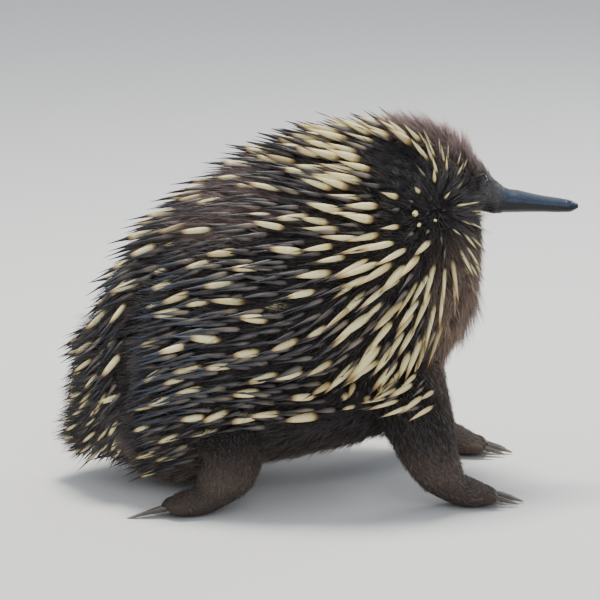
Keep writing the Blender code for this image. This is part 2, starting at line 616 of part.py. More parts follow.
class SpineField:
    """Where spines stand and which way they point. Each one kept is clear of all the others and of every
    core but its own."""

    def __init__(self, trunk, nodes):
        self.trunk = trunk
        self.draw = np.random.default_rng(SEED)
        self.outline = outline_tree(trunk)
        graph = evaluated_graph()
        self.trees = {name: BVHTree.FromObject(obj, graph) for name, obj in nodes.items()}
        self.roots, self.tips, self.radii = np.empty((0, 3)), np.empty((0, 3)), np.empty(0)
        self.owners = np.empty(0, dtype=object)
        ear = STATIONS.index("neck_root") + EAR_ALONG
        self.ears = {side: trunk.core(ear, side * EAR_ROUND)[0] for side in (-1, 1)}
        self.hollows = self.both_sides(HOLLOW)
        self.elbows = self.both_sides(ELBOW_WHORL)

    def both_sides(self, spot):
        t, degrees, _ = spot
        return {side: self.trunk.core(t, side * math.radians(degrees))[0] for side in (-1, 1)}

    def pointing(self, t, angle, here, axes, spread):
        """The direction and the length of the spine rooted here."""
        side = 1 if here[1] > 0 else -1
        along, out = -axes[0], axes[2]
        from_ear = here - self.ears[side]
        near_ear = np.linalg.norm(from_ear)
        pull = 1 - ramp((near_ear - RADIAL_CORE) / (RADIAL_REACH - RADIAL_CORE))
        lie = along * (1 - pull) + along_skin(from_ear, out) * pull
        erect = 1 - ramp(near_ear / ERECT_REACH)
        from_elbow = here - self.elbows[side]
        part = 1 - ramp(np.linalg.norm(from_elbow) / ELBOW_WHORL[2])
        lie = unit(lie) * (1 - part) + along_skin(from_elbow, out) * part
        erect = max(erect, part * ELBOW_ERECT)
        lift = SPINE_LIFT + REAR_LIFT * rear_top(t, angle)
        lift += (ERECT_LIFT - lift) * erect + LIFT_SPREAD * spread[0]
        lie = unit(lie - out * lie.dot(out))
        aside = np.cross(out, lie)
        turn = TURN_SPREAD * spread[1]
        lie = lie * math.cos(turn) + aside * math.sin(turn)
        length = np.interp(t, range(len(SPINE_LENGTHS)), SPINE_LENGTHS) * MM * (1 - ERECT_SHORTER * erect)
        return lie * math.cos(lift) + out * math.sin(lift), length * (1 + SIZE_SPREAD * spread[2])

    def shortened(self, here, direction, length):
        """The length, cut down in steps until the tip hardly stands out of the trunk's outline."""
        for share in np.arange(1.0, 0.5, -0.1):
            tip = Vector(here + direction * length * share)
            near, normal, _, _ = self.outline.find_nearest(tip)
            if (tip - near).dot(normal) < PROUD:
                break
        return length * share

    def is_clear(self, owner, root, direction, length, radius):
        """Whether the spine keeps its distance from the others, from the cores and from the floor."""
        if len(self.radii):
            gap = segment_distance(root, root + direction * length, self.roots, self.tips)
            touching = self.radii + radius
            if np.any(gap < np.where(self.owners == owner, touching * OWN_CLEAR, touching + CLEAR)):
                return False
        for reach in np.linspace(-SPINE_SINK, length, 9):
            spot = Vector(root + direction * reach)
            if spot.z < FLOOR + LOWEST_TIP:
                return False
            thin = max(0.0, reach / length - SPINE_BELLY) / (1 - SPINE_BELLY)
            keep = radius * (1 - TAPER * thin) + CLEAR
            for name, tree in self.trees.items():
                if name == owner and reach < OWN_REACH:
                    continue
                near, normal, _, distance = tree.find_nearest(spot, SPINE_COAT)
                if near is not None and (distance < keep or (spot - near).dot(normal) < 0):
                    return False
        return True

    def places(self, first, last):
        """Candidate places for roots between two stations: t, angle and point, in the order tried."""
        t = self.draw.uniform(first, last, TRIES)
        angle = self.draw.uniform(-math.pi, math.pi, TRIES)
        luck = self.draw.uniform(0, 1, (2, TRIES))
        width = self.trunk.station(t)[2]
        dense = spiny(t, angle) * (1 + EDGE_SPARSE) - EDGE_SPARSE
        wanted = (luck[0] < width / WIDEST) & (luck[1] < dense)
        t, angle = t[wanted], angle[wanted]
        return zip(t, angle, self.trunk.core(t, angle))

    def is_free(self, t, here, planes):
        """Whether a root fits here: in the field, off the node's ends, and not too near another root."""
        side = 1 if here[1] > 0 else -1
        if np.linalg.norm(here - self.hollows[side]) < HOLLOW[2]:
            return False
        if np.linalg.norm(here - self.ears[side]) < EAR_CLEAR:
            return False
        if any((here - spot).dot(facing) < SPINE_RADIUS * 2 for spot, facing in planes):
            return False
        spacing = np.interp(t, range(len(SPINE_SPACINGS)), SPINE_SPACINGS) * MM
        return not len(self.radii) or np.min(np.linalg.norm(self.roots - here, axis=1)) > spacing

    def grow(self, owner, first, last):
        """The spines of one trunk node, between its stations: root, direction, length and radius."""
        kept = []
        start, end = self.trunk.core(first, 0.0)[0], self.trunk.core(last, 0.0)[0]
        planes = ((start, self.trunk.facing(first)), (end, -self.trunk.facing(last)))
        for t, angle, here in self.places(first, last):
            spread = self.draw.uniform(-1, 1, 4)
            if not self.is_free(t, here, planes):
                continue
            _, axes = axes_on(self.trunk, t, angle)
            direction, length = self.pointing(t, angle, here, axes, spread)
            length = self.shortened(here, direction, length)
            sunk = here - direction * SPINE_SINK
            if any((sunk - spot).dot(facing) < SPINE_RADIUS * 2 for spot, facing in planes):
                continue
            size = THINNEST + (1 - THINNEST) * length / (max(SPINE_LENGTHS) * MM)
            radius = SPINE_RADIUS * size * (1 + SIZE_SPREAD * spread[3])
            if not self.is_clear(owner, here, direction, length, radius):
                continue
            self.roots = np.vstack([self.roots, here])
            self.tips = np.vstack([self.tips, here + direction * length])
            self.radii = np.append(self.radii, radius)
            self.owners = np.append(self.owners, owner)
            kept.append((here, direction, length, radius))
        return kept


def segment_distance(a, b, starts, ends):
    """The least distance from the segment a to b to each of the others."""
    u, v, w = b - a, ends - starts, a - starts
    uu, vv = u.dot(u), np.sum(v * v, axis=1)
    uv, uw, vw = v @ u, w @ u, np.sum(v * w, axis=1)
    base = np.maximum(uu * vv - uv * uv, 1e-12)
    s = np.clip((uv * vw - vv * uw) / base, 0, 1)
    r = np.clip((uv * s + vw) / vv, 0, 1)
    s = np.clip((uv * r - uw) / uu, 0, 1)
    return np.linalg.norm(w + u * s[:, None] - v * r[:, None], axis=1)


def along_skin(offset, out):
    """The unit direction of the offset, laid along the surface whose normal is out."""
    flat = offset - out * offset.dot(out)
    return flat / max(np.linalg.norm(flat), 0.001 * MM)


def outline_tree(trunk):
    """The trunk out to the tips of its coat, for measuring to it."""
    angles = np.linspace(0, 2 * math.pi, RING_SIDES * 2, endpoint=False)
    places = np.linspace(0, len(STATIONS) - 1, 4 * len(STATIONS))
    shell = mesh_object("outline", *loft([trunk.point(t, angles) for t in places]), "coat")
    tree = BVHTree.FromObject(shell, evaluated_graph())
    bpy.data.objects.remove(shell)
    return tree


def spine_mesh(root, direction, length, radius):
    """Verts and faces of a spine: narrow at the root, thickest over a third of its length, and pointed."""
    aside = unit(np.cross(direction, [0.3, 0.5, 0.81]))
    rise = np.cross(direction, aside)
    turns = np.linspace(0, 2 * math.pi, SPINE_SIDES, endpoint=False)
    spokes = np.outer(np.cos(turns), aside) + np.outer(np.sin(turns), rise)
    rings = [(-SPINE_SINK, radius * SPINE_NECK), (length * SPINE_BELLY, radius)]
    verts = [root + direction * at + spokes * size for at, size in rings]
    verts = np.concatenate([*verts, [root + direction * length]])
    n = SPINE_SIDES
    faces = [tuple(range(n))[::-1]]
    faces += [(i, (i + 1) % n, n + (i + 1) % n, n + i) for i in range(n)]
    faces += [(n + i, n + (i + 1) % n, 2 * n) for i in range(n)]
    return verts, faces


def evaluated_graph():
    bpy.context.view_layer.update()
    return bpy.context.evaluated_depsgraph_get()


def plant(obj, spines):
    """Joins the spines to the node that they grow from."""
    pieces = [mesh_object("spine", *spine_mesh(*spine), "coat") for spine in spines]
    union_of(obj, pieces, "MANIFOLD")


def main():
    clear_scene()
    trunk = Trunk()
    nodes = {}
    for name, (start, end, rings) in TRUNK_NODES.items():
        sides = BEAK_SIDES if name == "beak" else RING_SIDES
        finish = "beak" if name == "beak" else "coat"
        nodes[name] = trunk_node(trunk, name, start, end, rings, sides, finish)
    add_tail(trunk)
    finish_beak(trunk, nodes["beak"])
    for side, label in ((1, "left"), (-1, "right")):
        add_eye(trunk, nodes["head"], side, label)
        add_ear(trunk, [nodes["neck"]], side, label)
        add_limb(trunk, "fore", FORELIMB, FORE_CLAWS, (1.0, -0.08), side)
        add_limb(trunk, "hind", HINDLIMB, HIND_CLAWS, (-1.0, 0.22), side)
    solids = {obj.name: obj for obj in bpy.context.scene.collection.objects}
    field = SpineField(trunk, solids)
    for name in SPINY_NODES:
        start, end, _ = TRUNK_NODES[name]
        plant(nodes[name], field.grow(name, STATIONS.index(start), STATIONS.index(end)))
    for name in TRUNK_NODES:
        keep_largest(nodes[name])


main()
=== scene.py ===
"""The looks of a life-size short-beaked echidna: skin, beak, eyes, ears, claws, fur and spines.

Everything is in metres, in the frame's own axes: +X to the beak, -Y to the animal's right side, +Z up.
The skin is one loft from tail to beak with the legs joined to it. Fur and spines are solid tufts that are
set on it by Geometry Nodes, from root points that hold each tuft's direction, size and colour.
"""
import math

import bmesh
import bpy
import copy
import numpy as np
from mathutils import Matrix, Vector
from mathutils.bvhtree import BVHTree


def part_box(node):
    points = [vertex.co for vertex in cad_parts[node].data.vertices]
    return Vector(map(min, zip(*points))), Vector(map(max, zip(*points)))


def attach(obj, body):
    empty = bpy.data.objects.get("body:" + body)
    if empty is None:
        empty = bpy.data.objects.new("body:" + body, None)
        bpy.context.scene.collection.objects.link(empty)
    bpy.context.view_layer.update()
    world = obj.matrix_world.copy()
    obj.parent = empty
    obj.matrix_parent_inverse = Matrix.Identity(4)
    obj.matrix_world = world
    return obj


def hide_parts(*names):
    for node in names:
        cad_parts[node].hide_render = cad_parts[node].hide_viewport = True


MM = 0.001
GAP = 0.3 * MM

# Each station of the trunk, in millimetres, out to the tips of the coat: a point on the back, one on the
# belly, the half width, and how far the widest place lies below the middle, as a share of the height.
TRUNK = {
    "tail_root": ((-171, 66), (-146, 14), 34, 0.05),
    "haunch_end": ((-178.5, 99), (-117, 0), 66, 0.15),
    "haunch": ((-161, 141), (-84, -2), 90, 0.22),
    "loin": ((-122, 194), (-44, 10), 104, 0.24),
    "barrel": ((-66, 236), (-4, 17), 110, 0.22),
    "ribs": ((-8, 258), (36, 26), 107, 0.18),
    "shoulder": ((38, 265), (72, 44), 96, 0.14),
    "neck_root": ((62, 264), (96, 84), 80, 0.10),
    "neck": ((79, 261), (114, 122), 63, 0.06),
    "nape": ((93, 254), (117, 154), 48, 0.03),
    "crown": ((104, 244), (113, 177), 38, 0.0),
    "brow": ((113, 232), (110, 188), 28, -0.04),
    "face": ((120, 221), (114, 190), 19, -0.05),
    "beak_root": ((127.5, 211), (122, 190.5), 12.6, 0.0),
    "beak_third": ((141, 206.6), (139, 191.4), 9.7, 0.0),
    "beak_middle": ((157, 203), (156, 191.6), 7.3, 0.0),
    "beak_end": ((170, 201), (170, 191.4), 6.0, 0.0),
    "beak_lip": ((177, 199.4), (177, 192), 4.9, 0.0),
    "beak_tip": ((180.4, 197.8), (180.4, 193.8), 2.6, 0.0),
}
STATIONS = list(TRUNK)
LAST = len(STATIONS) - 1

# At each station from tail_root: where the spiny field starts and ends, in degrees round from the back, and
# how deep the skin lies under the tips of the coat, in millimetres, with spines and with fur alone.
FIELD_TOP = [-8, -8, -8, -8, -8, -8, -8, 20, 38, 53, 70, 90]
FIELD_END = [175, 162, 150, 138, 134, 134, 132, 128, 126, 116, 100, 90]
FIELD_FADE = math.radians(14)
FIELD_FRONT = 9.5  # the station where it ends
SPINE_DEPTH = [17, 20, 21, 21, 21, 21, 21, 20, 17, 14, 11, 8, 4]
FUR_DEPTH = [8, 7, 7, 7, 8, 9, 10, 11, 12, 12, 10, 7, 3, 0.5, 0]
REAR_DEPTH = 0.15  # the share that the depth grows by on top of the rear

# A limb's stations in millimetres, on the left side: the ring's middle, its half width and half height.
FORELIMB = [
    ((54, 46, 92), 33, 33),
    ((64, 66, 72), 32, 31),
    ((71, 75, 52), 28, 27),
    ((78, 76, 34), 24, 22),
    ((86, 75, 21), 20, 18),
    ((94, 74, 13), 19, 13),
    ((104, 72, 9), 20, 11),
    ((112, 70, 7), 18, 8.5),
    ((118, 69, 6), 13, 6),
]
HINDLIMB = [
    ((-78, 38, 66), 30, 30),
    ((-66, 61, 54), 31, 31),
    ((-60, 80, 40), 28, 27),
    ((-61, 90, 28), 24, 22),
    ((-68, 93, 19), 20, 17.5),
    ((-77, 95, 11), 17, 12.5),
    ((-86, 97, 8.5), 17, 10.5),
    ((-94, 98, 7), 15, 8.5),
    ((-99, 99, 6), 11, 6),
]
LIMB_DEPTH = [6, 6, 5, 4, 3, 2.2, 1.6, 1.2, 0.8]
FORE_HEADING = (1.0, -0.08)
HIND_HEADING = (-1.0, 0.22)

# Each claw: how far it stands to one side of the foot's middle and how far it turns out, its length and its
# half width.
FORE_CLAWS = [(-13, -14, 16, 2.9), (-7, -6, 23, 3.5), (0, 0, 26, 3.8), (7, 6, 23, 3.5), (13, 16, 15, 2.9)]
HIND_CLAWS = [(-12, -20, 12, 2.5), (-6, -8, 35, 3.2), (1, 2, 24, 2.9), (7, 12, 16, 2.5), (12, 24, 11, 2.3)]
CLAW_SINK = 8 * MM
CLAW_FLATNESS = 0.62
CLAW_DROOP = 0.22
CLAW_TAPER = 0.72
CLAW_RIDGE = 0.18
TOE_FLESH = 2.0 * MM
TOE_HALF = 8 * MM  # half the length of the ball that makes a toe
TOE_FLATNESS = 0.8
TOE_ROUND = 3.5 * MM  # how far the foot's end swells out past its last station
TOE_CLOSING = 0.08  # the share of a limb's length in which that end closes
LOWEST_SKIN = 0.8 * MM

TAIL_TIP = -0.999  # where the tail ends, counted in stations like every place on the trunk
TAIL_END = -0.95  # where its coat ends
TAIL_LENGTH = 15 * MM
TAIL_COAT = 11 * MM  # how far the coat reaches past the end of the tail's skin
TAIL_DROOP = math.radians(38)

EYE_PLACE = STATIONS.index("brow") + 0.30
EYE_ROUND = math.radians(58)
LID_THICKNESS = 0.5 * MM
LID_OPEN = 0.55  # the share of the eyeball's front, out from its middle, that the fur keeps clear of

BEAK_FIRST = STATIONS.index("beak_root")
BEAK_START = STATIONS.index("face") + 0.6
NOSTRIL_PLACE = STATIONS.index("beak_lip") - 0.25
NOSTRIL_ROUND = math.radians(42)
NOSTRIL_HALF = (1.9, 1.0, 3)  # its half sizes along, round and into the beak, in millimetres
NOSTRIL_DEPTH = 1.1 * MM
NOSTRIL_RIM = 0.25 * MM
MOUTH_LENGTH = 15 * MM
MOUTH_DEPTH = 0.4 * MM
MOUTH_UNDER = 0.7 * MM  # how far the mouth's line lies under the middle of the tip
BEAK_FADE = (122, 131)  # where the slate of the beak comes in, in millimetres forward

SKIN_SIDES = 200
LIMB_SIDES = 56
SPINE_SIDES = 6

EAR_PLACE = STATIONS.index("neck_root") + 0.42
EAR_ROUND = math.radians(78)
EAR_HEIGHT, EAR_WIDTH = 11 * MM, 5.5 * MM
# The ear's rings from under the skin over its edge and down its slit: their width and height, as shares of
# the ear's, and how far out they lie, in millimetres.
EAR_RINGS = [(0.75, 0.8, -3.0), (0.95, 0.95, -1.5), (1.0, 1.0, 0.2), (0.97, 0.98, 1.2), (0.85, 0.88, 1.7),
             (0.66, 0.76, 1.4), (0.48, 0.66, 0.2), (0.34, 0.55, -1.4), (0.15, 0.3, -2.2)]

# The picture looks down by this angle, so that what is nearer by one length shows lower by its tangent.
CAMERA_RISE = math.radians(12)
VIEW_DROP = math.tan(CAMERA_RISE)
CAMERA_AIM = (-0.01225, 0.0, 0.1288)
CAMERA_AWAY = 2.5
PICTURE_WIDTH = 0.42  # the width that the picture takes in at the animal's middle plane

# Places on the flank, in millimetres: how far forward, and how high they show in the picture. The coat
# points away from each whorl, and round the ear's as strongly as the pull says for each bearing, in degrees.
EAR_WHORL = (83, 193)
EAR_BEARINGS = [0, 60, 83, 102, 120, 140, 180, 205, 225, 240, 260, 275, 290, 360]
EAR_PULL = [0.9, 0.9, 0.75, 0.46, 0.2, 0.0, 0.1, 0.25, 0.65, 0.68, 0.68, 0.8, 0.9, 0.9]
ELBOW_WHORL = (36, 67)
PARTING_HEIGHTS = [50, 114.5, 150, 182.5]
PARTING = [-131, -125.6, -117, -104.6]
PARTING_TOP = 192
PARTING_FALL = (58, 6)  # how steeply the coat falls right behind the parting and further back, in degrees
PARTING_DEPTH = 5  # how much lower the skin lies just behind the parting
PARTING_OVERLAP = 5  # how far the flank's spines reach over it
SHORTEST_BY_PARTING = 24 * MM

# Ovals on the flank: where the middle shows, as above, and the half sizes.
HOLLOW = (62, 220, 21, 23)
BARE_HOLLOW = (62, 220, 15, 17)  # the part of the hollow that no spine grows in
HOLLOW_RIM = (79, 232, 27, 18)
BEHIND_HOLLOW = (46, 236, 26, 18)
MAUVE_BACK = (-62, 207, 42, 40)
CROWN_TOP = (80, 258, 46, 18)
CROWN_FRONT = (105, 231, 25, 24)
BARE_CHEEK = (107, 206, 14, 12)  # the black cheek behind the eye, bare of spines too
EYE_PATCH = (116, 202, 24, 17)
EAR_PATCH = (80, 206, 32, 23)
SNOUT = (123, 207, 12, 10)
CHEST_FRONT = (106, 112, 32, 62)
FRINGE = (112, 132, 22, 28)  # where the throat's fur stands out longest
# Painted reflection: the place on the lower flank where the sky's bluish reflection is painted on the
# needles.
PAINTED_REFLECTION_FLANK = (-86, 108, 42, 60)  # where needles have a blue sheen

# Spines, at each station from tail_root: their length and the distance between their roots, in millimetres.
SPINE_LENGTHS = [27, 36, 44, 46, 46, 46, 46, 44, 36, 27, 21, 18]
SPINE_SPACINGS = [5.4, 5.6, 5.9, 6.3, 6.6, 6.7, 6.6, 6.4, 6.0, 5.7, 5.4, 5.2]
LEAST_CREAM = 0.14  # the share of cream spines on flank and rump
MORE_OVER_BACK = 0.16
SHOULDER_CREAM, LESS_HIGH_UP = 0.70, 0.22
CREAM_SPACING = 0.92  # how far apart cream spines stand, against the spacing that their share alone gives
SPINE_TRIES = 40000  # how many places are tried for them, far more than there is room for
SPINE_SINK = 3 * MM
CREAM_THICK = 2.65 * MM
DARK_THICK = 1.85 * MM
DARK_LENGTH = 0.84  # the length of a dark spine, against a cream one's

# The shares by which spines stand closer or wider apart, or are shorter or thinner, in places.
CLOSER_ON_HAUNCH, CLOSER_ON_REAR, CLOSER_ON_RIM = 0.15, 0.15, 0.42
WIDER_ON_MAUVE, WIDER_ON_SHOULDER = 0.18, 0.08
SHORTER_WHERE_ERECT, SHORTER_ON_RIM, SHORTER_ON_LEG = 0.35, 0.22, 0.25
THINNER_ON_HEAD, THINNER_ON_REAR, THINNER_ON_RIM = 0.38, 0.22, 0.2
THINNER_ON_MAUVE, THINNER_ON_THROAT = 0.22, 0.12

SPINE_LIFT = math.radians(19)
HIGHEST_LIFT = math.radians(44)
REAR_HIGHEST = math.radians(62)
ERECT_LIFT = math.radians(76)
LIFT_SPREAD = math.radians(5)
TURN_SPREAD = math.radians(6)
PROUD = 3.5 * MM
LOWEST_TIP = 2 * MM
LOWEST_ON_LEG = 56  # how low on a foreleg spines still grow, as it shows in the picture
EAR_CLEAR = 5 * MM

# How thick a spine is from root to tip, as (share of its length, share of its thickness): the stout ones of
# back and flank with a long needle, and the slim even ones of shoulder and throat. The pairs after each say
# where a place of the spine finds its colour in the colour steps.
STOUT = [(0.0, 0.24), (0.20, 0.30), (0.27, 0.50), (0.31, 0.80), (0.36, 0.97), (0.44, 1.0), (0.55, 0.88),
         (0.65, 0.62), (0.73, 0.38), (0.83, 0.21), (0.97, 0.05)]
STOUT_SHADES = [(0.0, 0.0), (1.0, 1.0)]
SLIM = [(0.0, 0.28), (0.14, 0.36), (0.22, 0.62), (0.28, 0.90), (0.36, 1.0), (0.48, 0.98), (0.60, 0.84),
        (0.72, 0.60), (0.83, 0.36), (0.92, 0.18), (0.98, 0.05)]
SLIM_SHADES = [(0.0, 0.0), (0.20, 0.28), (0.28, 0.36), (0.70, 0.60), (0.86, 0.67), (1.0, 0.74)]

UNDERCOAT_GAP = 2.9 * MM
GUARD_HAIR_GAP = 3.4 * MM
BODY_FUR_GAP = 2.6 * MM
CHEST_HAIR_GAP = 2.6 * MM
REAR_END = 4.0  # the station up to which the undercoat is a piece of its own
FUR_SINK = 0.6 * MM
UNDERCOAT_THICK = 5.4 * MM
GUARD_HAIR_THICK = 6.0 * MM
BODY_FUR_THICK = 4.6 * MM

# How far each kind of fur stands up from the skin, and how much that varies from tuft to tuft, in degrees.
UNDERCOAT_LIFT = (31, 8)
GUARD_HAIR_LIFT = (24, 7)
BODY_FUR_LIFT = (24, 7)
HEAD_FUR_LIFT = (16, 6)
LEG_FUR_LIFT = (22, 6)
MORE_WHERE_ERECT = 26

FUR_TRIES = 60000  # how many places are tried for a kind of fur, far more than there is room for

# The stations where each fur outside the spiny field starts and ends, and the scale of the long hairs there:
# of their thickness, twice, and of their length.
BELLY_START, CHEST_START, CHEST_END = 0.3, 5.5, 9.6
HEAD_START, CROWN_HAIR_END, HEAD_FUR_END = 6.0, 12.3, 13.35
CHEST_HAIR_SCALE = (1.3, 1.3, 1.2)
CROWN_HAIR_SCALE = (1.6, 1.6, 1.15)

# Fur outside the spiny field, in millimetres: its length at these stations of the trunk, on top and at the
# side of the head, and the distance between tufts; and both down a leg, by the share of the way down.
BELLY_FUR = [(0, 12), (3, 12), (6, 14), (8, 15), (9.6, 11)]
TOP_FUR = [(8, 15), (10, 15), (11, 12), (12, 8), (12.8, 4.5), (13.2, 2.6)]
SIDE_FUR = [(8, 12), (10, 10), (11, 7.5), (12, 6), (12.8, 4.2), (13.2, 2.6)]
HEAD_FUR_GAPS = [(8, 2.4), (10.6, 2.1), (11.5, 1.5), (12.4, 1.0), (13.4, 0.8)]
LEG_FUR = [(0, 11), (0.4, 8), (0.7, 5), (1, 3.4)]
LEG_FUR_GAPS = [(0, 3.0), (0.5, 2.3), (1, 1.6)]

# Colours, linear.
UNDERCOAT = (0.026, 0.018, 0.017)
MAUVE = (0.160, 0.102, 0.092)
BELLY = (0.120, 0.085, 0.066)
CHEST = (0.185, 0.125, 0.090)
CROWN = (0.195, 0.128, 0.116)
DARK_FACE = (0.024, 0.019, 0.019)
SNOUT_FUZZ = (0.115, 0.106, 0.112)
# Painted shade: the hollow behind the ear lies in shadow, so its fur and skin are painted near black.
PAINTED_SHADE_HOLLOW = (0.007, 0.006, 0.007)
LEG = (0.080, 0.057, 0.046)
SKIN_DARKER = 0.55
CREAM_STEPS = [
    (0.0, (0.025, 0.016, 0.012)),
    (0.27, (0.05, 0.032, 0.022)),
    (0.32, (0.42, 0.30, 0.12)),
    (0.36, (0.84, 0.72, 0.35)),
    (0.46, (0.95, 0.85, 0.48)),
    (0.60, (0.90, 0.78, 0.40)),
    (0.66, (0.46, 0.30, 0.13)),
    (0.70, (0.06, 0.042, 0.038)),
    (0.85, (0.018, 0.016, 0.018)),
]
# The beak's colour by the share of the way up it: its own black below, then a painted bluish reflection of
# the sky along its upper side and a painted highlight, lighter grey, along its top.
BEAK_SLATE_AND_PAINTED_SHEEN = [
    (0.0, (0.003, 0.003, 0.004)),
    (0.42, (0.004, 0.005, 0.007)),
    (0.54, (0.009, 0.013, 0.024)),
    (0.66, (0.020, 0.034, 0.068)),
    (0.80, (0.032, 0.050, 0.090)),
    (0.90, (0.046, 0.056, 0.078)),
    (1.0, (0.080, 0.086, 0.100)),
]
# A dark spine from root to tip: its grey-brown belly is lighter, partly its own colour and partly a painted
# sheen, and its needle is faintly bluish, a painted reflection of the sky.
DARK_STEPS = [
    (0.0, (0.012, 0.010, 0.009)),
    (0.31, (0.018, 0.015, 0.014)),
    (0.37, (0.180, 0.152, 0.136)),
    (0.47, (0.165, 0.144, 0.132)),
    (0.57, (0.085, 0.078, 0.079)),
    (0.68, (0.036, 0.038, 0.046)),
    (1.0, (0.015, 0.017, 0.023)),
]
# Painted reflection: the bluish colour of the sky's reflection, painted on the needles of the lower flank.
PAINTED_REFLECTION_BLUE = (0.060, 0.082, 0.125)
CLAW_STEPS = [(0.25, (0.030, 0.024, 0.020)), (0.7, (0.075, 0.060, 0.046)), (1.0, (0.20, 0.165, 0.12))]
EYE_TINTS = [(0.3, (0.004, 0.003, 0.003)), (0.8, (0.012, 0.008, 0.006))]
EAR_TINTS = [(0.3, (0.010, 0.008, 0.008)), (0.75, (0.024, 0.018, 0.017))]

# What a spine's own tone, from 0 to 1, makes of its colour: few cream ones are dull, dark ones are uneven.
CREAM_TONES = [(0.0, (0.50, 0.43, 0.38)), (0.12, (0.80, 0.76, 0.70)), (0.25, (1.0, 1.0, 1.0))]
DARK_TONES = [(0.0, (0.45, 0.45, 0.48)), (0.7, (1.0, 1.0, 1.0)), (1.0, (1.9, 1.8, 1.4))]

PATCH = 0.003  # how wide a tuft's patch is on the bake map
SEED = 23


def unit(vectors):
    return vectors / np.maximum(np.linalg.norm(vectors, axis=-1, keepdims=True), 1e-12)


def squared(vectors, axes):
    """The unit directions of the vectors, with what points along the axes taken out."""
    return unit(vectors - axes * np.sum(vectors * axes, axis=-1, keepdims=True))


def outwards(vectors, from_middle):
    """The vectors, each turned about where it points to the middle."""
    return vectors * np.sign(np.sum(vectors * from_middle, axis=-1, keepdims=True))


def on_left(points):
    """The points, with those of the right side mirrored to the left one."""
    return points * [1, 0, 1] + np.abs(points) * [0, 1, 0]


def paired(places, angles):
    """Places and angles as arrays of one shape."""
    return np.broadcast_arrays(np.atleast_1d(places).astype(float), np.atleast_1d(angles).astype(float))


def stepped(pairs, at):
    """The value at each place of a line through (place, value) pairs."""
    return np.interp(at, *zip(*pairs))


def ramp(value):
    """From 0 to 1, smoothly, as the value goes from 0 to 1."""
    value = np.clip(value, 0, 1)
    return value * value * (3 - 2 * value)


def from_back(angle):
    """How far round the ring a place is from the middle of the back, either way."""
    return np.abs((angle + math.pi) % (2 * math.pi) - math.pi)


def at_station(values, t):
    """The value at t of a list with one value for each station, which keeps its last one."""
    return np.interp(t, np.arange(len(values)), values)


def spiny(t, angle):
    """How much of the spiny field there is at t and angle, from 0 to 1."""
    down = from_back(angle)
    top, end = np.radians(at_station(FIELD_TOP, t)), np.radians(at_station(FIELD_END, t))
    inside = ramp((down - top) / FIELD_FADE + 0.5) * ramp((end - down) / FIELD_FADE + 0.5)
    return inside * ramp((FIELD_FRONT - t) / 0.5)


def rear_top(t, angle):
    """How much of the top of the rear, where spines stand up most, there is at t and angle."""
    return ramp((4.4 - t) / 2.0) * ramp((math.radians(80) - from_back(angle)) / math.radians(50))


def smooth_through(knots, values, at):
    """The values at the places asked for, on a smooth curve through the values at the knots."""
    knots, values, at = np.asarray(knots, float), np.asarray(values, float), np.asarray(at, float)
    slopes = np.gradient(values, knots, axis=0)
    k = np.clip(np.searchsorted(knots, at, side="right") - 1, 0, len(knots) - 2)
    width = (knots[k + 1] - knots[k])[..., None]
    u = ((at - knots[k]) / (knots[k + 1] - knots[k]))[..., None]
    return (
        values[k] * (1 + 2 * u) * (1 - u) ** 2
        + slopes[k] * width * u * (1 - u) ** 2
        + values[k + 1] * u * u * (3 - 2 * u)
        + slopes[k + 1] * width * u * u * (u - 1)
    )


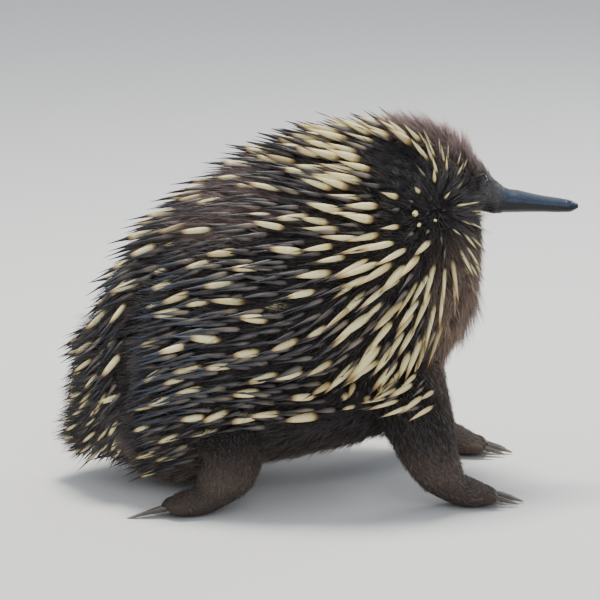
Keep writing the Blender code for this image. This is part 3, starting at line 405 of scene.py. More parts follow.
class Trunk:
    """The loft from tail to beak. A place on it is t, counted in stations and below 0 on the tail, and the
    angle round from the back."""

    def __init__(self):
        rows = [TRUNK[name] for name in STATIONS]
        self.table = np.array([[*back, *belly, width, 0] for back, belly, width, _ in rows]) * MM
        self.table[:, -1] = [sag for _, _, _, sag in rows]
        middles = (self.table[:, 0:2] + self.table[:, 2:4]) / 2
        steps = np.linalg.norm(np.diff(middles, axis=0), axis=1)
        self.knots = np.concatenate([[0], np.cumsum(steps)])
        self.eye = self.outline(EYE_PLACE, EYE_ROUND)[0]

    def along(self, t):
        """How far t lies from the tail's end, as a share of the whole length."""
        length = self.knots[-1] + TAIL_LENGTH
        past_root = np.interp(t, np.arange(LAST + 1), self.knots)
        return (past_root + TAIL_LENGTH * (1 + np.clip(t, -1, 0))) / length

    def outline(self, t, angle):
        """Points on the tips of the coat."""
        t, angle = paired(t, angle)
        place = np.interp(t.ravel(), np.arange(LAST + 1), self.knots)
        row = smooth_through(self.knots, self.table, place)
        back, belly, width, sag = row[:, 0:2], row[:, 2:4], row[:, 4], row[:, 5]
        c, s = np.cos(angle.ravel()), np.sin(angle.ravel())
        flat = (back + belly) / 2 + (back - belly) / 2 * c[:, None]
        return np.column_stack([flat[:, 0], width * s * (1 - sag * c), flat[:, 1]]).reshape(*t.shape, 3)

    def middle(self, t):
        """The middle of the ring at t."""
        top, bottom = self.outline(t, 0.0 * t), self.outline(t, 0.0 * t + math.pi)
        return (top + bottom) / 2

    def depth(self, t, angle, here):
        """How deep the skin lies under the tips of the coat."""
        part = spiny(t, angle)
        deep = at_station(SPINE_DEPTH, t) * (1 + REAR_DEPTH * rear_top(t, angle))
        behind, haunch = behind_parting(here)
        haunch = haunch * ramp((np.abs(here[..., 1]) / MM - 25) / 25)
        deep = deep + PARTING_DEPTH * haunch * (ramp((behind + 6) / 9) - ramp((behind - 6) / 40))
        from_eye = np.linalg.norm(on_left(here) - self.eye, axis=-1) / MM
        by_eye = 1 - ramp((from_eye - 5) / 12)
        return (deep * part + at_station(FUR_DEPTH, t) * (1 - part) * (1 - 0.75 * by_eye)) * MM

    def taken_in(self, t, angle):
        """Points of the trunk's skin, each taken in within its own ring."""
        step = 1e-3
        here = self.outline(t, angle)
        round_ = unit(self.outline(t, angle + step) - self.outline(t, angle - step))
        low, high = np.maximum(t - step, 0), np.minimum(t + step, LAST)
        ahead = unit(self.outline(high, angle) - self.outline(low, angle))
        upright = self.outline(t, 0 * angle) - self.outline(t, 0 * angle + math.pi)
        across = unit(np.cross(upright, [0.0, 1.0, 0.0]))
        from_middle = here - self.middle(t)
        level = outwards(np.cross(round_, across), from_middle)
        outward = outwards(unit(np.cross(round_, ahead)), from_middle)
        slope = np.clip(np.sum(level * outward, axis=-1), 0.5, 1.0)
        half = np.linalg.norm(from_middle, axis=-1)
        return here - level * np.minimum(self.depth(t, angle, here) / slope, half * 0.5)[..., None]

    def skin(self, t, angle):
        """Points of the skin, on the tail too, which shrinks the trunk's first ring to a drooping stub."""
        t, angle = paired(t, angle)
        ring = self.taken_in(np.maximum(t, 0), angle)
        points = np.where(t[..., None] < 0, self.on_tail(t, ring, TAIL_LENGTH), ring)
        points[..., 2] = np.maximum(points[..., 2], LOWEST_SKIN)
        return points

    def on_tail(self, t, ring, length):
        """The trunk's first ring drawn in and moved back along a drooping tail of this length."""
        share = np.clip(-t, 0, 1)[..., None]
        size = np.sqrt(1 - share**2.2) * (1 - 0.16 * ramp(share / 0.3))
        root = self.middle(np.maximum(t, 0))
        upright = np.subtract(*(TRUNK["tail_root"][i] for i in (0, 1)))
        backward = unit(np.array([-upright[1], 0.0, upright[0]], float))
        droop = TAIL_DROOP * share
        shift = backward * np.cos(droop) - np.array([0, 0, 1.0]) * np.sin(droop)
        return root + (ring - root) * size + shift * length * share

    def coat_tips(self, t, angle):
        """Points on the tips of the coat, on the tail too."""
        t, angle = paired(t, angle)
        ring = self.outline(np.maximum(t, 0), angle)
        return np.where(t[..., None] < 0, self.on_tail(t, ring, TAIL_LENGTH + TAIL_COAT), ring)

    def frame(self, t, angle):
        """The skin's points and, at each, the unit directions to the tail, round the body and outwards."""
        step = 2e-3
        here = self.skin(t, angle)
        low, high = np.maximum(t - step, TAIL_TIP), np.minimum(t + step, LAST)
        back = unit(self.skin(low, angle) - self.skin(high, angle))
        round_ = self.skin(t, angle + step) - self.skin(t, angle - step)
        return here, back, *outward_of(back, round_, here - self.skin_middle(t))

    def skin_middle(self, t):
        return (self.skin(t, 0.0 * t) + self.skin(t, 0.0 * t + math.pi)) / 2

    def bake_place(self, t, angle):
        """Where a place lies on the bake map: the whole trunk opened along the belly, tail first."""
        around = (angle / (2 * math.pi)) % 1.0
        return np.column_stack([0.005 + 0.985 * around, 0.01 + 0.70 * self.along(t)])


def outward_of(along, round_, from_middle):
    """The direction round squared up to the one along, and the outward one that goes with them."""
    round_ = squared(round_, along)
    return round_, outwards(np.cross(round_, along), from_middle)


class Limb:
    """A leg with its foot. A place on it is how far down it lies, from 0 to 1, and the angle round it."""

    def __init__(self, name, number, stations, heading, claws, mirror):
        self.name, self.number, self.claws, self.mirror = name, number, claws, mirror
        rows = [(*middle, width - deep, height - deep)
                for (middle, width, height), deep in zip(stations, LIMB_DEPTH)]
        self.table = np.array(rows) * MM
        self.table[:, 1] *= mirror
        steps = np.linalg.norm(np.diff(self.table[:, :3], axis=0), axis=1)
        self.length = steps.sum()
        self.knots = np.concatenate([[0], np.cumsum(steps)]) / self.length
        self.ahead = unit(np.array([heading[0], heading[1] * mirror, 0.0]))
        self.across = np.array([-self.ahead[1], self.ahead[0], 0.0]) * mirror

    def middle(self, place):
        return smooth_through(self.knots, self.table, place)[..., :3]

    def skin(self, place, angle):
        """Points of the skin. Past 1 the foot closes round its toes."""
        place, angle = paired(place, angle)
        step = 1e-3
        past = np.clip((place - 1) / TOE_CLOSING, 0, 1)[..., None] * math.pi / 2
        held = np.clip(place, 0, 1)
        row = smooth_through(self.knots, self.table, held)
        tangent = self.middle(np.minimum(held + step, 1)) - self.middle(np.maximum(held - step, 0))
        tangent = unit(tangent - self.across * (tangent @ self.across)[..., None])
        rise = np.cross(tangent, self.across)
        width, height = row[..., 3:4], row[..., 4:5]
        offset = self.across * width * np.cos(angle)[..., None] + rise * height * np.sin(angle)[..., None]
        points = row[..., :3] + offset * np.maximum(np.cos(past), 0.02) + tangent * np.sin(past) * TOE_ROUND
        points[..., 2] = np.maximum(points[..., 2], LOWEST_SKIN)
        return points

    def frame(self, place, angle):
        """The skin's points and, at each, the unit directions to the toes, round the limb and outwards."""
        step = 2e-3
        here = self.skin(place, angle)
        down = unit(self.skin(place + step, angle) - self.skin(np.maximum(place - step, 0), angle))
        round_ = self.skin(place, angle + step) - self.skin(place, angle - step)
        return here, down, *outward_of(down, round_, here - self.middle(np.clip(place, 0, 1)))

    def bake_place(self, place, angle):
        """Where a place lies on the bake map: one of four strips above the trunk's."""
        around = (angle / (2 * math.pi)) % 1.0
        across = (self.number + 0.03 + 0.94 * around) / 4
        return np.column_stack([across, 0.74 + 0.24 * np.clip(place, 0, 1)])


def make_limbs():
    made = []
    for name, stations, heading, claws in (
        ("fore", FORELIMB, FORE_HEADING, FORE_CLAWS),
        ("hind", HINDLIMB, HIND_HEADING, HIND_CLAWS),
    ):
        for mirror in (1, -1):
            made.append(Limb(name, len(made), stations, heading, claws, mirror))
    return made


TRUNK_SHAPE = Trunk()


# Meshes

def new_object(name, data):
    """An object with this data, in the scene."""
    made = bpy.data.objects.new(name, data)
    bpy.context.scene.collection.objects.link(made)
    return made


def mesh_object(name, verts, faces):
    """A smooth object of this mesh with its faces pointing out."""
    mesh = bpy.data.meshes.new(name)
    mesh.from_pydata(np.asarray(verts, float).tolist(), [], [list(map(int, face)) for face in faces])
    work = bmesh.new()
    work.from_mesh(mesh)
    bmesh.ops.recalc_face_normals(work, faces=work.faces)
    work.to_mesh(mesh)
    work.free()
    mesh.shade_smooth()
    return new_object(name, mesh)


def loft(rings):
    """Verts and faces of a closed skin over rings of the same count, with a fan at each end."""
    rings = np.asarray(rings)
    count, sides = rings.shape[:2]
    start = np.arange(count - 1)[:, None] * sides
    i, j = np.arange(sides), (np.arange(sides) + 1) % sides
    quads = np.stack([start + i, start + j, start + sides + j, start + sides + i], axis=-1).reshape(-1, 4)
    first, last = count * sides, count * sides + 1
    end = (count - 1) * sides
    fans = [(first, b, a) for a, b in zip(i, j)] + [(last, end + a, end + b) for a, b in zip(i, j)]
    verts = np.concatenate([rings.reshape(-1, 3), [rings[0].mean(axis=0), rings[-1].mean(axis=0)]])
    return verts, [*quads.tolist(), *fans]


def ball(middle, half_sizes, axes, segments, rings):
    """Verts and faces of a ball stretched by half_sizes along the three axes."""
    turn = np.linspace(0, 2 * math.pi, segments, endpoint=False)
    made = []
    for lean in np.linspace(0, math.pi, rings + 1)[1:-1]:
        made.append(np.column_stack([np.cos(turn) * math.sin(lean), np.sin(turn) * math.sin(lean),
                                     np.full(segments, math.cos(lean))]))
    verts, faces = loft(made)
    verts[-2:] = [(0, 0, 1), (0, 0, -1)]
    return middle + (verts * np.array(half_sizes)) @ np.array(axes), faces


def applied(obj):
    """The object with its evaluated mesh in place of its own and no modifiers."""
    graph = bpy.context.evaluated_depsgraph_get()
    mesh = bpy.data.meshes.new_from_object(
        obj.evaluated_get(graph), preserve_all_data_layers=True, depsgraph=graph
    )
    obj.modifiers.clear()
    obj.data = mesh
    return obj


def boolean(obj, others, operation):
    """Joins or cuts obj with other closed objects, one after the other, and removes them."""
    for other in others:
        modifier = obj.modifiers.new(operation.lower(), "BOOLEAN")
        modifier.operation = operation
        modifier.object = other
        modifier.solver = "MANIFOLD"
        applied(obj)
        bpy.data.objects.remove(other)


def search_tree(rings):
    """A tree to find the nearest place of a loft's surface in, which faces outwards."""
    work = bmesh.new()
    verts, faces = loft(rings)
    made = [work.verts.new(vert) for vert in verts]
    for face in faces:
        work.faces.new([made[i] for i in face])
    bmesh.ops.recalc_face_normals(work, faces=work.faces)
    tree = BVHTree.FromBMesh(work)
    work.free()
    return tree


def inside(tree, point):
    """Whether a line up from the point goes through the tree's closed surface an odd number of times."""
    up = Vector((0.02, 0.01, 1.0)).normalized()
    crossings = 0
    hit = tree.ray_cast(point, up)[0]
    while hit is not None:
        crossings += 1
        hit = tree.ray_cast(hit + up * 1e-6, up)[0]
    return crossings % 2 == 1


def heights_over(tree, points):
    """How far each point lies out of the tree's surface, below 0 inside it."""
    found = []
    for point in points:
        point = Vector(point)
        away = (point - tree.find_nearest(point)[0]).length
        found.append(-away if inside(tree, point) else away)
    return np.array(found)


def axes_at(surface, t, angle):
    """A place of a surface and its unit axes there: along it, round it and outwards."""
    here, along, round_, out = surface.frame(np.array([t]), np.array([angle]))
    return here[0], np.array([along[0], round_[0], out[0]])


# The skin

def make_skin(trunk, limbs, eyes):
    """One skin from tail to beak, with the legs, toes and lids joined to it."""
    skin = mesh_object("skin", *loft(trunk_rings(trunk)))
    pieces = [mesh_object("limb", *loft(limb_rings(limb))) for limb in limbs]
    for limb in limbs:
        pieces += [mesh_object("toe", *toe) for toe in toes_of(limb)]
    pieces += [mesh_object("lid", *eye_ball(eye, LID_THICKNESS)) for eye in eyes]
    boolean(skin, pieces, "UNION")
    cuts = [mesh_object("opening", *eye_opening(eye)) for eye in eyes]
    cuts += [mesh_object("socket", *eye_ball(eye, GAP)) for eye in eyes]
    boolean(skin, cuts, "DIFFERENCE")
    shape_beak(skin.data, trunk)
    skin.data.shade_smooth()
    return skin


def trunk_rings(trunk):
    """The rings of the trunk from the tail's end to the beak's tip."""
    turn = np.linspace(0, 2 * math.pi, SKIN_SIDES, endpoint=False)
    spans = [(TAIL_TIP, 0, 20), (0, BEAK_START, 150), (BEAK_START, LAST, 100)]
    places = np.unique(np.concatenate([np.linspace(start, end, count) for start, end, count in spans]))
    rings = [trunk.skin(t, turn) for t in places]
    return rings + [closing_ring(rings[-1], share) for share in (0.4, 0.7, 0.92)]


def closing_ring(ring, share):
    """The beak's last ring drawn in to round its tip off."""
    middle = ring.mean(axis=0)
    return middle + (ring - middle) * math.sqrt(1 - share**2) + [1.2 * MM * share, 0, 0]


def limb_rings(limb):
    turn = np.linspace(0, 2 * math.pi, LIMB_SIDES, endpoint=False)
    places = np.concatenate([np.linspace(0, 1, 48), 1 + TOE_CLOSING * np.array([0.25, 0.5, 0.75, 0.92])])
    return [limb.skin(place, turn) for place in places]


def claw_seats(limb):
    """For each claw of the foot: where it grows, its direction, its length and its half width."""
    seats = []
    toes = limb.table[-2, :3]
    for offset, splay, length, half_width in limb.claws:
        turn = math.radians(splay) * limb.mirror * math.copysign(1, limb.ahead[0])
        ahead = np.array(Matrix.Rotation(turn, 3, "Z") @ Vector(limb.ahead))
        root = toes + (limb.across * offset + limb.ahead * (4 - abs(offset) * 0.25)) * MM
        seats.append((root, ahead, length * MM, half_width * MM))
    return seats


def toes_of(limb):
    """A rounded toe round the root of each claw."""
    made = []
    for root, ahead, _, half_width in claw_seats(limb):
        across = np.array([-ahead[1], ahead[0], 0.0])
        size = half_width + TOE_FLESH
        middle = root + ahead * 1.0 * MM
        middle[2] = max(middle[2], size * TOE_FLATNESS + LOWEST_SKIN)
        axes = [ahead, across, [0, 0, 1]]
        made.append(ball(middle, [TOE_HALF, size, size * TOE_FLATNESS], axes, segments=20, rings=14))
    return made


def eye_opening(eye):
    """An almond-shaped bar out of the eyeball that opens the lids."""
    ahead, round_, out = eye["axes"]
    half, high = eye["radius"] * 0.93, eye["radius"] * 0.66
    turn = np.linspace(0, 2 * math.pi, 40, endpoint=False)
    along, rise = half * np.cos(turn), high * np.sin(turn) * (1 - 0.45 * np.abs(np.cos(turn)) ** 3)
    ring = eye["middle"] + np.outer(along, ahead) + np.outer(rise, round_)
    return loft([ring + out * reach * eye["radius"] for reach in (0.1, 0.7, 1.8)])


def shape_beak(mesh, trunk):
    """Presses the nostrils and the line of the mouth into the beak's skin."""
    points = points_of(mesh)
    tip = trunk.middle(np.array([float(LAST)]))[0]
    for side in (-1, 1):
        place, axes = axes_at(trunk, NOSTRIL_PLACE, side * NOSTRIL_ROUND)
        local = (points - place) @ axes.T / MM
        away = np.sqrt(np.sum((local / NOSTRIL_HALF) ** 2, axis=1))
        points -= axes[2] * (1 - ramp(away))[:, None] * NOSTRIL_DEPTH
        points += axes[2] * (ramp(away) * (1 - ramp((away - 1) / 0.7)))[:, None] * NOSTRIL_RIM
    on_line = 1 - ramp(np.abs(points[:, 2] - tip[2] + MOUTH_UNDER) / (0.5 * MM))
    on_line *= ramp((points[:, 0] - tip[0] + MOUTH_LENGTH) / (3 * MM))
    inward = unit(np.column_stack([np.zeros(len(points)), -points[:, 1], np.zeros(len(points))]))
    points += inward * (on_line * MOUTH_DEPTH)[:, None]
    put_points(mesh, points)


def points_of(mesh):
    flat = np.empty(len(mesh.vertices) * 3)
    mesh.vertices.foreach_get("co", flat)
    return flat.reshape(-1, 3)


def put_points(mesh, points):
    mesh.vertices.foreach_set("co", np.ascontiguousarray(points).ravel())
    mesh.update()


# Eyes, ears and claws

def eye_of(trunk, node, side):
    """The eyeball's middle and radius from its own solid, and the skin's axes there."""
    low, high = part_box(node)
    _, axes = axes_at(trunk, EYE_PLACE, side * EYE_ROUND)
    return {"middle": np.array((low + high) / 2), "radius": max(high - low) / 2, "axes": axes, "node": node}


def eye_ball(eye, more=0.0):
    """Verts and faces of a ball round the eye's middle, larger than the eyeball by more."""
    return ball(eye["middle"], [eye["radius"] + more] * 3, eye["axes"], segments=48, rings=32)


def make_eye(eye):
    """A ball with a slightly raised clear front."""
    verts, faces = eye_ball(eye)
    out = eye["axes"][2]
    reach = (verts - eye["middle"]) @ out / eye["radius"]
    verts += np.outer(ramp((reach - 0.72) / 0.28) * eye["radius"] * 0.05, out)
    return mesh_object(eye["node"] + "_ball", verts, faces)


def make_ear(node, trunk, side):
    """An upright cup of thin skin with a long slit, among the spines behind the eye."""
    out = axes_at(trunk, EAR_PLACE, side * EAR_ROUND)[1][2]
    low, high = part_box(node)
    upright = squared(np.array([0.0, 0.0, 1.0]), out)
    across = np.cross(upright, out)
    middle = np.array((low + high) / 2)
    rings = []
    turn = np.linspace(0, 2 * math.pi, 40, endpoint=False)
    for width, height, reach in EAR_RINGS:
        offset = np.outer(np.cos(turn) * width * EAR_WIDTH / 2, across)
        offset += np.outer(np.sin(turn) * height * EAR_HEIGHT / 2, upright)
        rings.append(middle + offset + out * reach * MM)
    return mesh_object(node + "_cup", *loft(rings))


def claw_ring(share, turn, root, ahead, length, half_width):
    """The ring of a claw at a share of its length: curved down, flattened and ridged along its back."""
    across = np.array([-ahead[1], ahead[0], 0.0])
    thin = (1 - CLAW_TAPER * share**2.4) * (1 - ramp((share - 0.93) / 0.07) * 0.6)
    middle = root + ahead * ((length + CLAW_SINK) * share - CLAW_SINK)
    middle = middle - np.array([0, 0, CLAW_DROOP * length * share * share])
    ridge = 1 + CLAW_RIDGE * np.cos(turn - math.pi / 2) ** 4 * np.sign(np.sin(turn))
    offset = np.outer(np.cos(turn) * half_width * thin, across)
    offset += np.outer(np.sin(turn) * ridge * half_width * CLAW_FLATNESS * thin, [0, 0, 1.0])
    ring = middle + offset
    ring[:, 2] = np.maximum(ring[:, 2], LOWEST_SKIN * 0.6)
    return ring


def make_claws(limbs):
    """Every claw, tapered to a blunt worn point, in one mesh."""
    verts, faces, along = [], [], []
    turn = np.linspace(0, 2 * math.pi, 14, endpoint=False)
    shares = np.linspace(0, 1, 16)
    for seat in [seat for limb in limbs for seat in claw_seats(limb)]:
        new_verts, new_faces = loft([claw_ring(share, turn, *seat) for share in shares])
        faces += [[place + len(verts) for place in face] for face in new_faces]
        verts += new_verts.tolist()
        along += [*np.repeat(shares, len(turn)), 0.0, 1.0]
    claws = mesh_object("claws", verts, faces)
    put_attribute(claws.data, "along", np.array(along))
    return claws


def put_attribute(mesh, name, values):
    """Stores a number, a place on a map, a vector or a colour for each vertex."""
    columns = 1 if values.ndim == 1 else values.shape[1]
    kind, field = {1: ("FLOAT", "value"), 2: ("FLOAT2", "vector"), 3: ("FLOAT_VECTOR", "vector"),
                   4: ("FLOAT_COLOR", "color")}[columns]
    attribute = mesh.attributes.new(name, kind, "POINT")
    attribute.data.foreach_set(field, np.ascontiguousarray(values, dtype=np.float32).ravel())


# Markings and painted shade, which skin and coat share

def seen_height(points):
    """How high each point shows in the picture, in millimetres, from whichever side it lies on."""
    return (points[..., 2] - VIEW_DROP * np.abs(points[..., 1])) / MM


def within(points, oval, soft=0.35):
    """How far inside an oval of the flank each point is: 1 in it, falling to 0 round it."""
    forward, up, half_length, half_height = oval
    x, v = points[:, 0] / MM, seen_height(points)
    away = np.sqrt(((x - forward) / half_length) ** 2 + ((v - up) / half_height) ** 2)
    return 1 - ramp((away - 1 + soft) / (2 * soft))


def on_rim(points):
    """The rim over the hollow behind the ear, where slim spines stand close together in an arc."""
    return within(points, HOLLOW_RIM) * (1 - within(points, BARE_HOLLOW, 0.15))


def over_shoulder(points):
    """Shoulder and throat, where cream spines are slim and even, nearly to their tips."""
    return ramp((points[:, 0] / MM - 16) / 16) * ramp((186 - seen_height(points)) / 16)


def markings_and_painted_shade(points):
    """The colour of skin and fur at each point, without the beak's, with the hollow behind the ear painted
    near black as shade. Each one lies over those before it.
    """
    y, z = np.abs(points[:, 1]) / MM, points[:, 2] / MM
    colour = np.tile(UNDERCOAT, (len(points), 1))
    for share, tint in (
        (within(points, MAUVE_BACK) * 0.9, MAUVE),
        (1 - ramp((z - 18) / 40), BELLY),
        (within(points, CHEST_FRONT), CHEST),
        (np.maximum(within(points, CROWN_TOP), within(points, CROWN_FRONT)), CROWN),
        (np.maximum(within(points, EYE_PATCH), 0.9 * within(points, EAR_PATCH)), DARK_FACE),
        (within(points, SNOUT), SNOUT_FUZZ),
        # painted shade in the hollow behind the ear
        (within(points, HOLLOW), PAINTED_SHADE_HOLLOW),
        (ramp((24 - z) / 10) * ramp((y - 50) / 12), LEG),
    ):
        colour += (np.array(tint) - colour) * share[:, None]
    return colour


def mark_skin(mesh):
    points = points_of(mesh)
    x = points[:, 0] / MM
    beak = ramp((x - BEAK_FADE[0]) / (BEAK_FADE[1] - BEAK_FADE[0]))
    colour = markings_and_painted_shade(points) * SKIN_DARKER
    put_attribute(mesh, "shade", np.column_stack([colour, np.ones(len(points))]))
    put_attribute(mesh, "beak", beak)
    # rise: the share of the way up the beak, which places its black lower half, the painted bluish
    # reflection and the painted lighter top.
    rows = np.array([(back[0], back[1], belly[1]) for back, belly, _, _ in TRUNK.values()])[BEAK_FIRST:]
    top, bottom = np.interp(x, rows[:, 0], rows[:, 1]), np.interp(x, rows[:, 0], rows[:, 2])
    put_attribute(mesh, "rise", np.clip((points[:, 2] / MM - bottom) / (top - bottom), 0, 1))


def beak_faces(mesh):
    """Gives the faces of the beak their own finish."""
    centres = np.empty(len(mesh.polygons) * 3)
    mesh.polygons.foreach_get("center", centres)
    ahead = centres.reshape(-1, 3)[:, 0] / MM > BEAK_FADE[0]
    mesh.polygons.foreach_set("material_index", ahead.astype(np.int32))


# Roots of the coat

def tries_on(surface, count, low, high, draw):
    """Places spread evenly by area over a stretch of a surface."""
    cells = 160
    place = low + (high - low) * (np.arange(cells) + 0.5) / cells
    angle = 2 * math.pi * (np.arange(cells) + 0.5) / cells
    place, angle = (grid.ravel() for grid in np.meshgrid(place, angle))
    step = 1e-3
    along = surface.skin(place + step, angle) - surface.skin(place - step, angle)
    round_ = surface.skin(place, angle + step) - surface.skin(place, angle - step)
    area = np.linalg.norm(np.cross(along, round_), axis=1)
    drawn = draw.choice(cells * cells, count, p=area / area.sum())
    aside = (draw.random((2, count)) - 0.5) / cells
    return place[drawn] + (high - low) * aside[0], angle[drawn] + 2 * math.pi * aside[1]


def spread_out(points, gaps):
    """Marks the points kept so that none is nearer to another than its own gap."""
    size = float(np.max(gaps))
    cells = {}
    kept = np.zeros(len(points), bool)
    near = [(a, b, c) for a in (-1, 0, 1) for b in (-1, 0, 1) for c in (-1, 0, 1)]
    rows = points.tolist()
    homes = np.floor(points / size).astype(int).tolist()
    for i, (row, home, gap) in enumerate(zip(rows, homes, gaps.tolist())):
        limit = gap * gap
        clash = False
        for a, b, c in near:
            for other in cells.get((home[0] + a, home[1] + b, home[2] + c), ()):
                if (row[0] - other[0])**2 + (row[1] - other[1])**2 + (row[2] - other[2])**2 < limit:
                    clash = True
                    break
            if clash:
                break
        if not clash:
            kept[i] = True
            cells.setdefault(tuple(home), []).append(row)
    return kept


class Roots:
    """Where tufts or spines grow. Each array has one row for each of them."""

    def __init__(self, surface, place, angle):
        self.t, self.angle = place, angle
        self.here, self.along, self.round, self.out = surface.frame(place, angle)
        self.bake = surface.bake_place(place, angle)
        self.on_limb = np.zeros(len(place), bool)

    def keep(self, mask):
        for name, values in list(vars(self).items()):
            setattr(self, name, values[mask])
        return self

    def part(self, mask):
        """A copy that holds only what the mask keeps."""
        return copy.copy(self).keep(mask)

    def aim(self, lie, lift):
        """Points every tuft along lie, raised from the skin by lift."""
        lie = squared(lie, self.out)
        self.direction = lie * np.cos(lift)[:, None] + self.out * np.sin(lift)[:, None]

    def normal(self, draw):
        """A normal draw for each of them."""
        return draw.normal(size=len(self.t))

    def turned(self, lie, spread, draw):
        """The directions lie turned round the outward ones, each by its own chance."""
        turn = (spread * self.normal(draw))[:, None]
        return lie * np.cos(turn) + np.cross(self.out, lie) * np.sin(turn)

    def stand(self, lift, draw, more=0.0):
        """Points every tuft along its lie, raised by about lift, in degrees, and by more."""
        middle, spread = lift
        self.aim(self.lie, np.radians(middle + spread * self.normal(draw) + more))


def behind_parting(points):
    """How far each point lies behind the parting in front of the haunch, and how far below its top."""
    v = seen_height(points)
    return np.interp(v, PARTING_HEIGHTS, PARTING) - points[..., 0] / MM, ramp((PARTING_TOP - v) / 10)


def combed(points):
    """How the coat lies on the flank: directions forward and up in the picture, and how erect it stands."""
    x, v = points[:, 0] / MM, seen_height(points)
    # Backward and nearly level, falling more to the rear and low down, and rising high up in front.
    slope = 1 + 0.16 * np.maximum(0, -12 - x) + 0.02 * np.maximum(0, 140 - v)
    slope -= 0.17 * np.maximum(0, v - 140) * ramp((x + 55) / 60)
    behind, haunch = behind_parting(points)
    fall = PARTING_FALL[0] + (PARTING_FALL[1] - PARTING_FALL[0]) * ramp((behind - 3) / 46)
    slope = np.radians(slope + (fall - slope) * ramp(behind / 3) * haunch)
    aim = np.column_stack([-np.cos(slope), -np.sin(slope)])
    from_ear = np.column_stack([x, v]) - EAR_WHORL
    far = np.linalg.norm(from_ear, axis=1)
    bearing = np.degrees(np.arctan2(from_ear[:, 1], from_ear[:, 0])) % 360
    pull = np.interp(bearing, EAR_BEARINGS, EAR_PULL) * (1 - ramp((far - 90) / 80))
    pull = np.maximum(pull, 1 - ramp((far - 8) / 35))
    aim = unit(aim * (1 - pull)[:, None] + unit(from_ear) * pull[:, None])
    from_elbow = np.hypot(x - ELBOW_WHORL[0], v - ELBOW_WHORL[1])
    erect = np.maximum(1 - ramp((far - 4) / 32), 0.85 * (1 - ramp((from_elbow - 6) / 24)))
    return aim, erect


def aim_spines(roots, draw):
    """Points the spines as they are combed, so that they show that way from the side."""
    aim, erect = combed(roots.here)
    wanted = np.arctan2(aim[:, 1], aim[:, 0])
    side = np.sign(roots.here[:, 1])
    lift = SPINE_LIFT * (1 - 0.35 * ramp((roots.here[:, 0] / MM - 70) / 20))
    lift += LIFT_SPREAD * roots.normal(draw)
    highest = HIGHEST_LIFT + (REAR_HIGHEST - HIGHEST_LIFT) * ramp((1.6 - roots.t) / 1.2)
    turn = np.zeros(len(side))
    for _ in range(4):
        flat = np.column_stack([np.cos(wanted + turn), 0 * turn, np.sin(wanted + turn)])
        rise = np.arcsin(np.clip(np.sum(flat * roots.out, axis=1), -1, 1))
        rise = np.clip(rise, lift, np.maximum(highest, lift))
        rise += (ERECT_LIFT - rise) * erect
        roots.aim(flat, rise)
        nearer = VIEW_DROP * roots.direction[:, 1] * side
        seen = np.column_stack([roots.direction[:, 0], roots.direction[:, 2] - nearer])
        off = wanted - np.arctan2(seen[:, 1], seen[:, 0])
        off = (off + math.pi) % (2 * math.pi) - math.pi
        turn = np.clip(turn + off * np.linalg.norm(seen, axis=1) * 0.8, -0.7, 0.7)
    roots.aim(roots.turned(squared(roots.direction, roots.out), TURN_SPREAD, draw), rise)
    roots.erect = erect


def spine_roots(trunk, limbs, trunk_tree, draw):
    """Every spine: where it grows, where it points, its size and whether it is cream or dark."""
    roots = Roots(trunk, *tries_on(trunk, SPINE_TRIES, TAIL_END, FIELD_FRONT, draw))
    bare = within(roots.here, BARE_HOLLOW, 0.15) + within(roots.here, BARE_CHEEK, 0.15)
    from_ear = np.linalg.norm(on_left(roots.here) - trunk.skin(EAR_PLACE, EAR_ROUND)[0], axis=1)
    roots.keep((spiny(roots.t, roots.angle) > 0.5) & (bare < 0.5) & (from_ear > EAR_CLEAR))
    roots.keep(spread_out(roots.here, spine_gaps(roots)))
    for limb in limbs[:2]:
        roots = joined(roots, shoulder_roots(limb, trunk_tree, draw))
    aim_spines(roots, draw)
    length = spine_lengths(roots, trunk, draw)
    roots.cream = spread_out(roots.here, CREAM_SPACING * spine_gaps(roots) / np.sqrt(cream_share(roots)))
    roots.cream = roots.cream.astype(float)
    length *= np.where(roots.cream > 0, 1, DARK_LENGTH)
    thick = spine_thickness(roots, length, draw)
    roots.size = np.column_stack([thick, thick, length + SPINE_SINK])
    roots.sink = np.full(len(length), SPINE_SINK)
    roots.tone = draw.random(len(length))
    roots.slim = (roots.cream > 0) & (draw.random(len(length)) < over_shoulder(roots.here))
    roots.pale = np.where(roots.slim, 1, 1 - 0.2 * ramp((roots.here[:, 0] / MM - 5) / 30))
    # how much painted bluish reflection of the sky each spine's needle gets
    roots.cool = within(roots.here, PAINTED_REFLECTION_FLANK)
    roots.shade = markings_and_painted_shade(roots.here)
    tips = roots.here + roots.direction * length[:, None]
    return roots.keep((tips[:, 2] > LOWEST_TIP) & (length > 0))


def spine_gaps(roots):
    """The distance kept between spines, least on the rim by the ear and on the rear."""
    behind, haunch = behind_parting(roots.here)
    gaps = at_station(SPINE_SPACINGS, roots.t) * MM * (1 - CLOSER_ON_HAUNCH * ramp(behind / 4) * haunch)
    gaps *= (1 - CLOSER_ON_RIM * on_rim(roots.here)) * (1 + WIDER_ON_MAUVE * within(roots.here, MAUVE_BACK))
    gaps *= 1 - CLOSER_ON_REAR * ramp((2.5 - roots.t) / 1.5)
    return gaps * (1 + WIDER_ON_SHOULDER * over_shoulder(roots.here))


def spine_lengths(roots, trunk, draw):
    """How long each spine is, with the ones cut down that would pass the trunk's outline or the parting."""
    length = at_station(SPINE_LENGTHS, roots.t) * MM * (1 + 0.10 * roots.normal(draw))
    length *= (1 - SHORTER_WHERE_ERECT * roots.erect) * (1 - SHORTER_ON_RIM * on_rim(roots.here))
    turn = np.linspace(0, 2 * math.pi, 64, endpoint=False)
    places = np.linspace(0, STATIONS.index("beak_third"), 90)
    places = np.concatenate([np.linspace(TAIL_TIP, 0, 12), places[1:]])
    outline = search_tree([trunk.coat_tips(t, turn) for t in places])
    length = np.where(roots.on_limb, length * (1 - SHORTER_ON_LEG), shortened(outline, roots, length))
    return before_parting(roots, length)


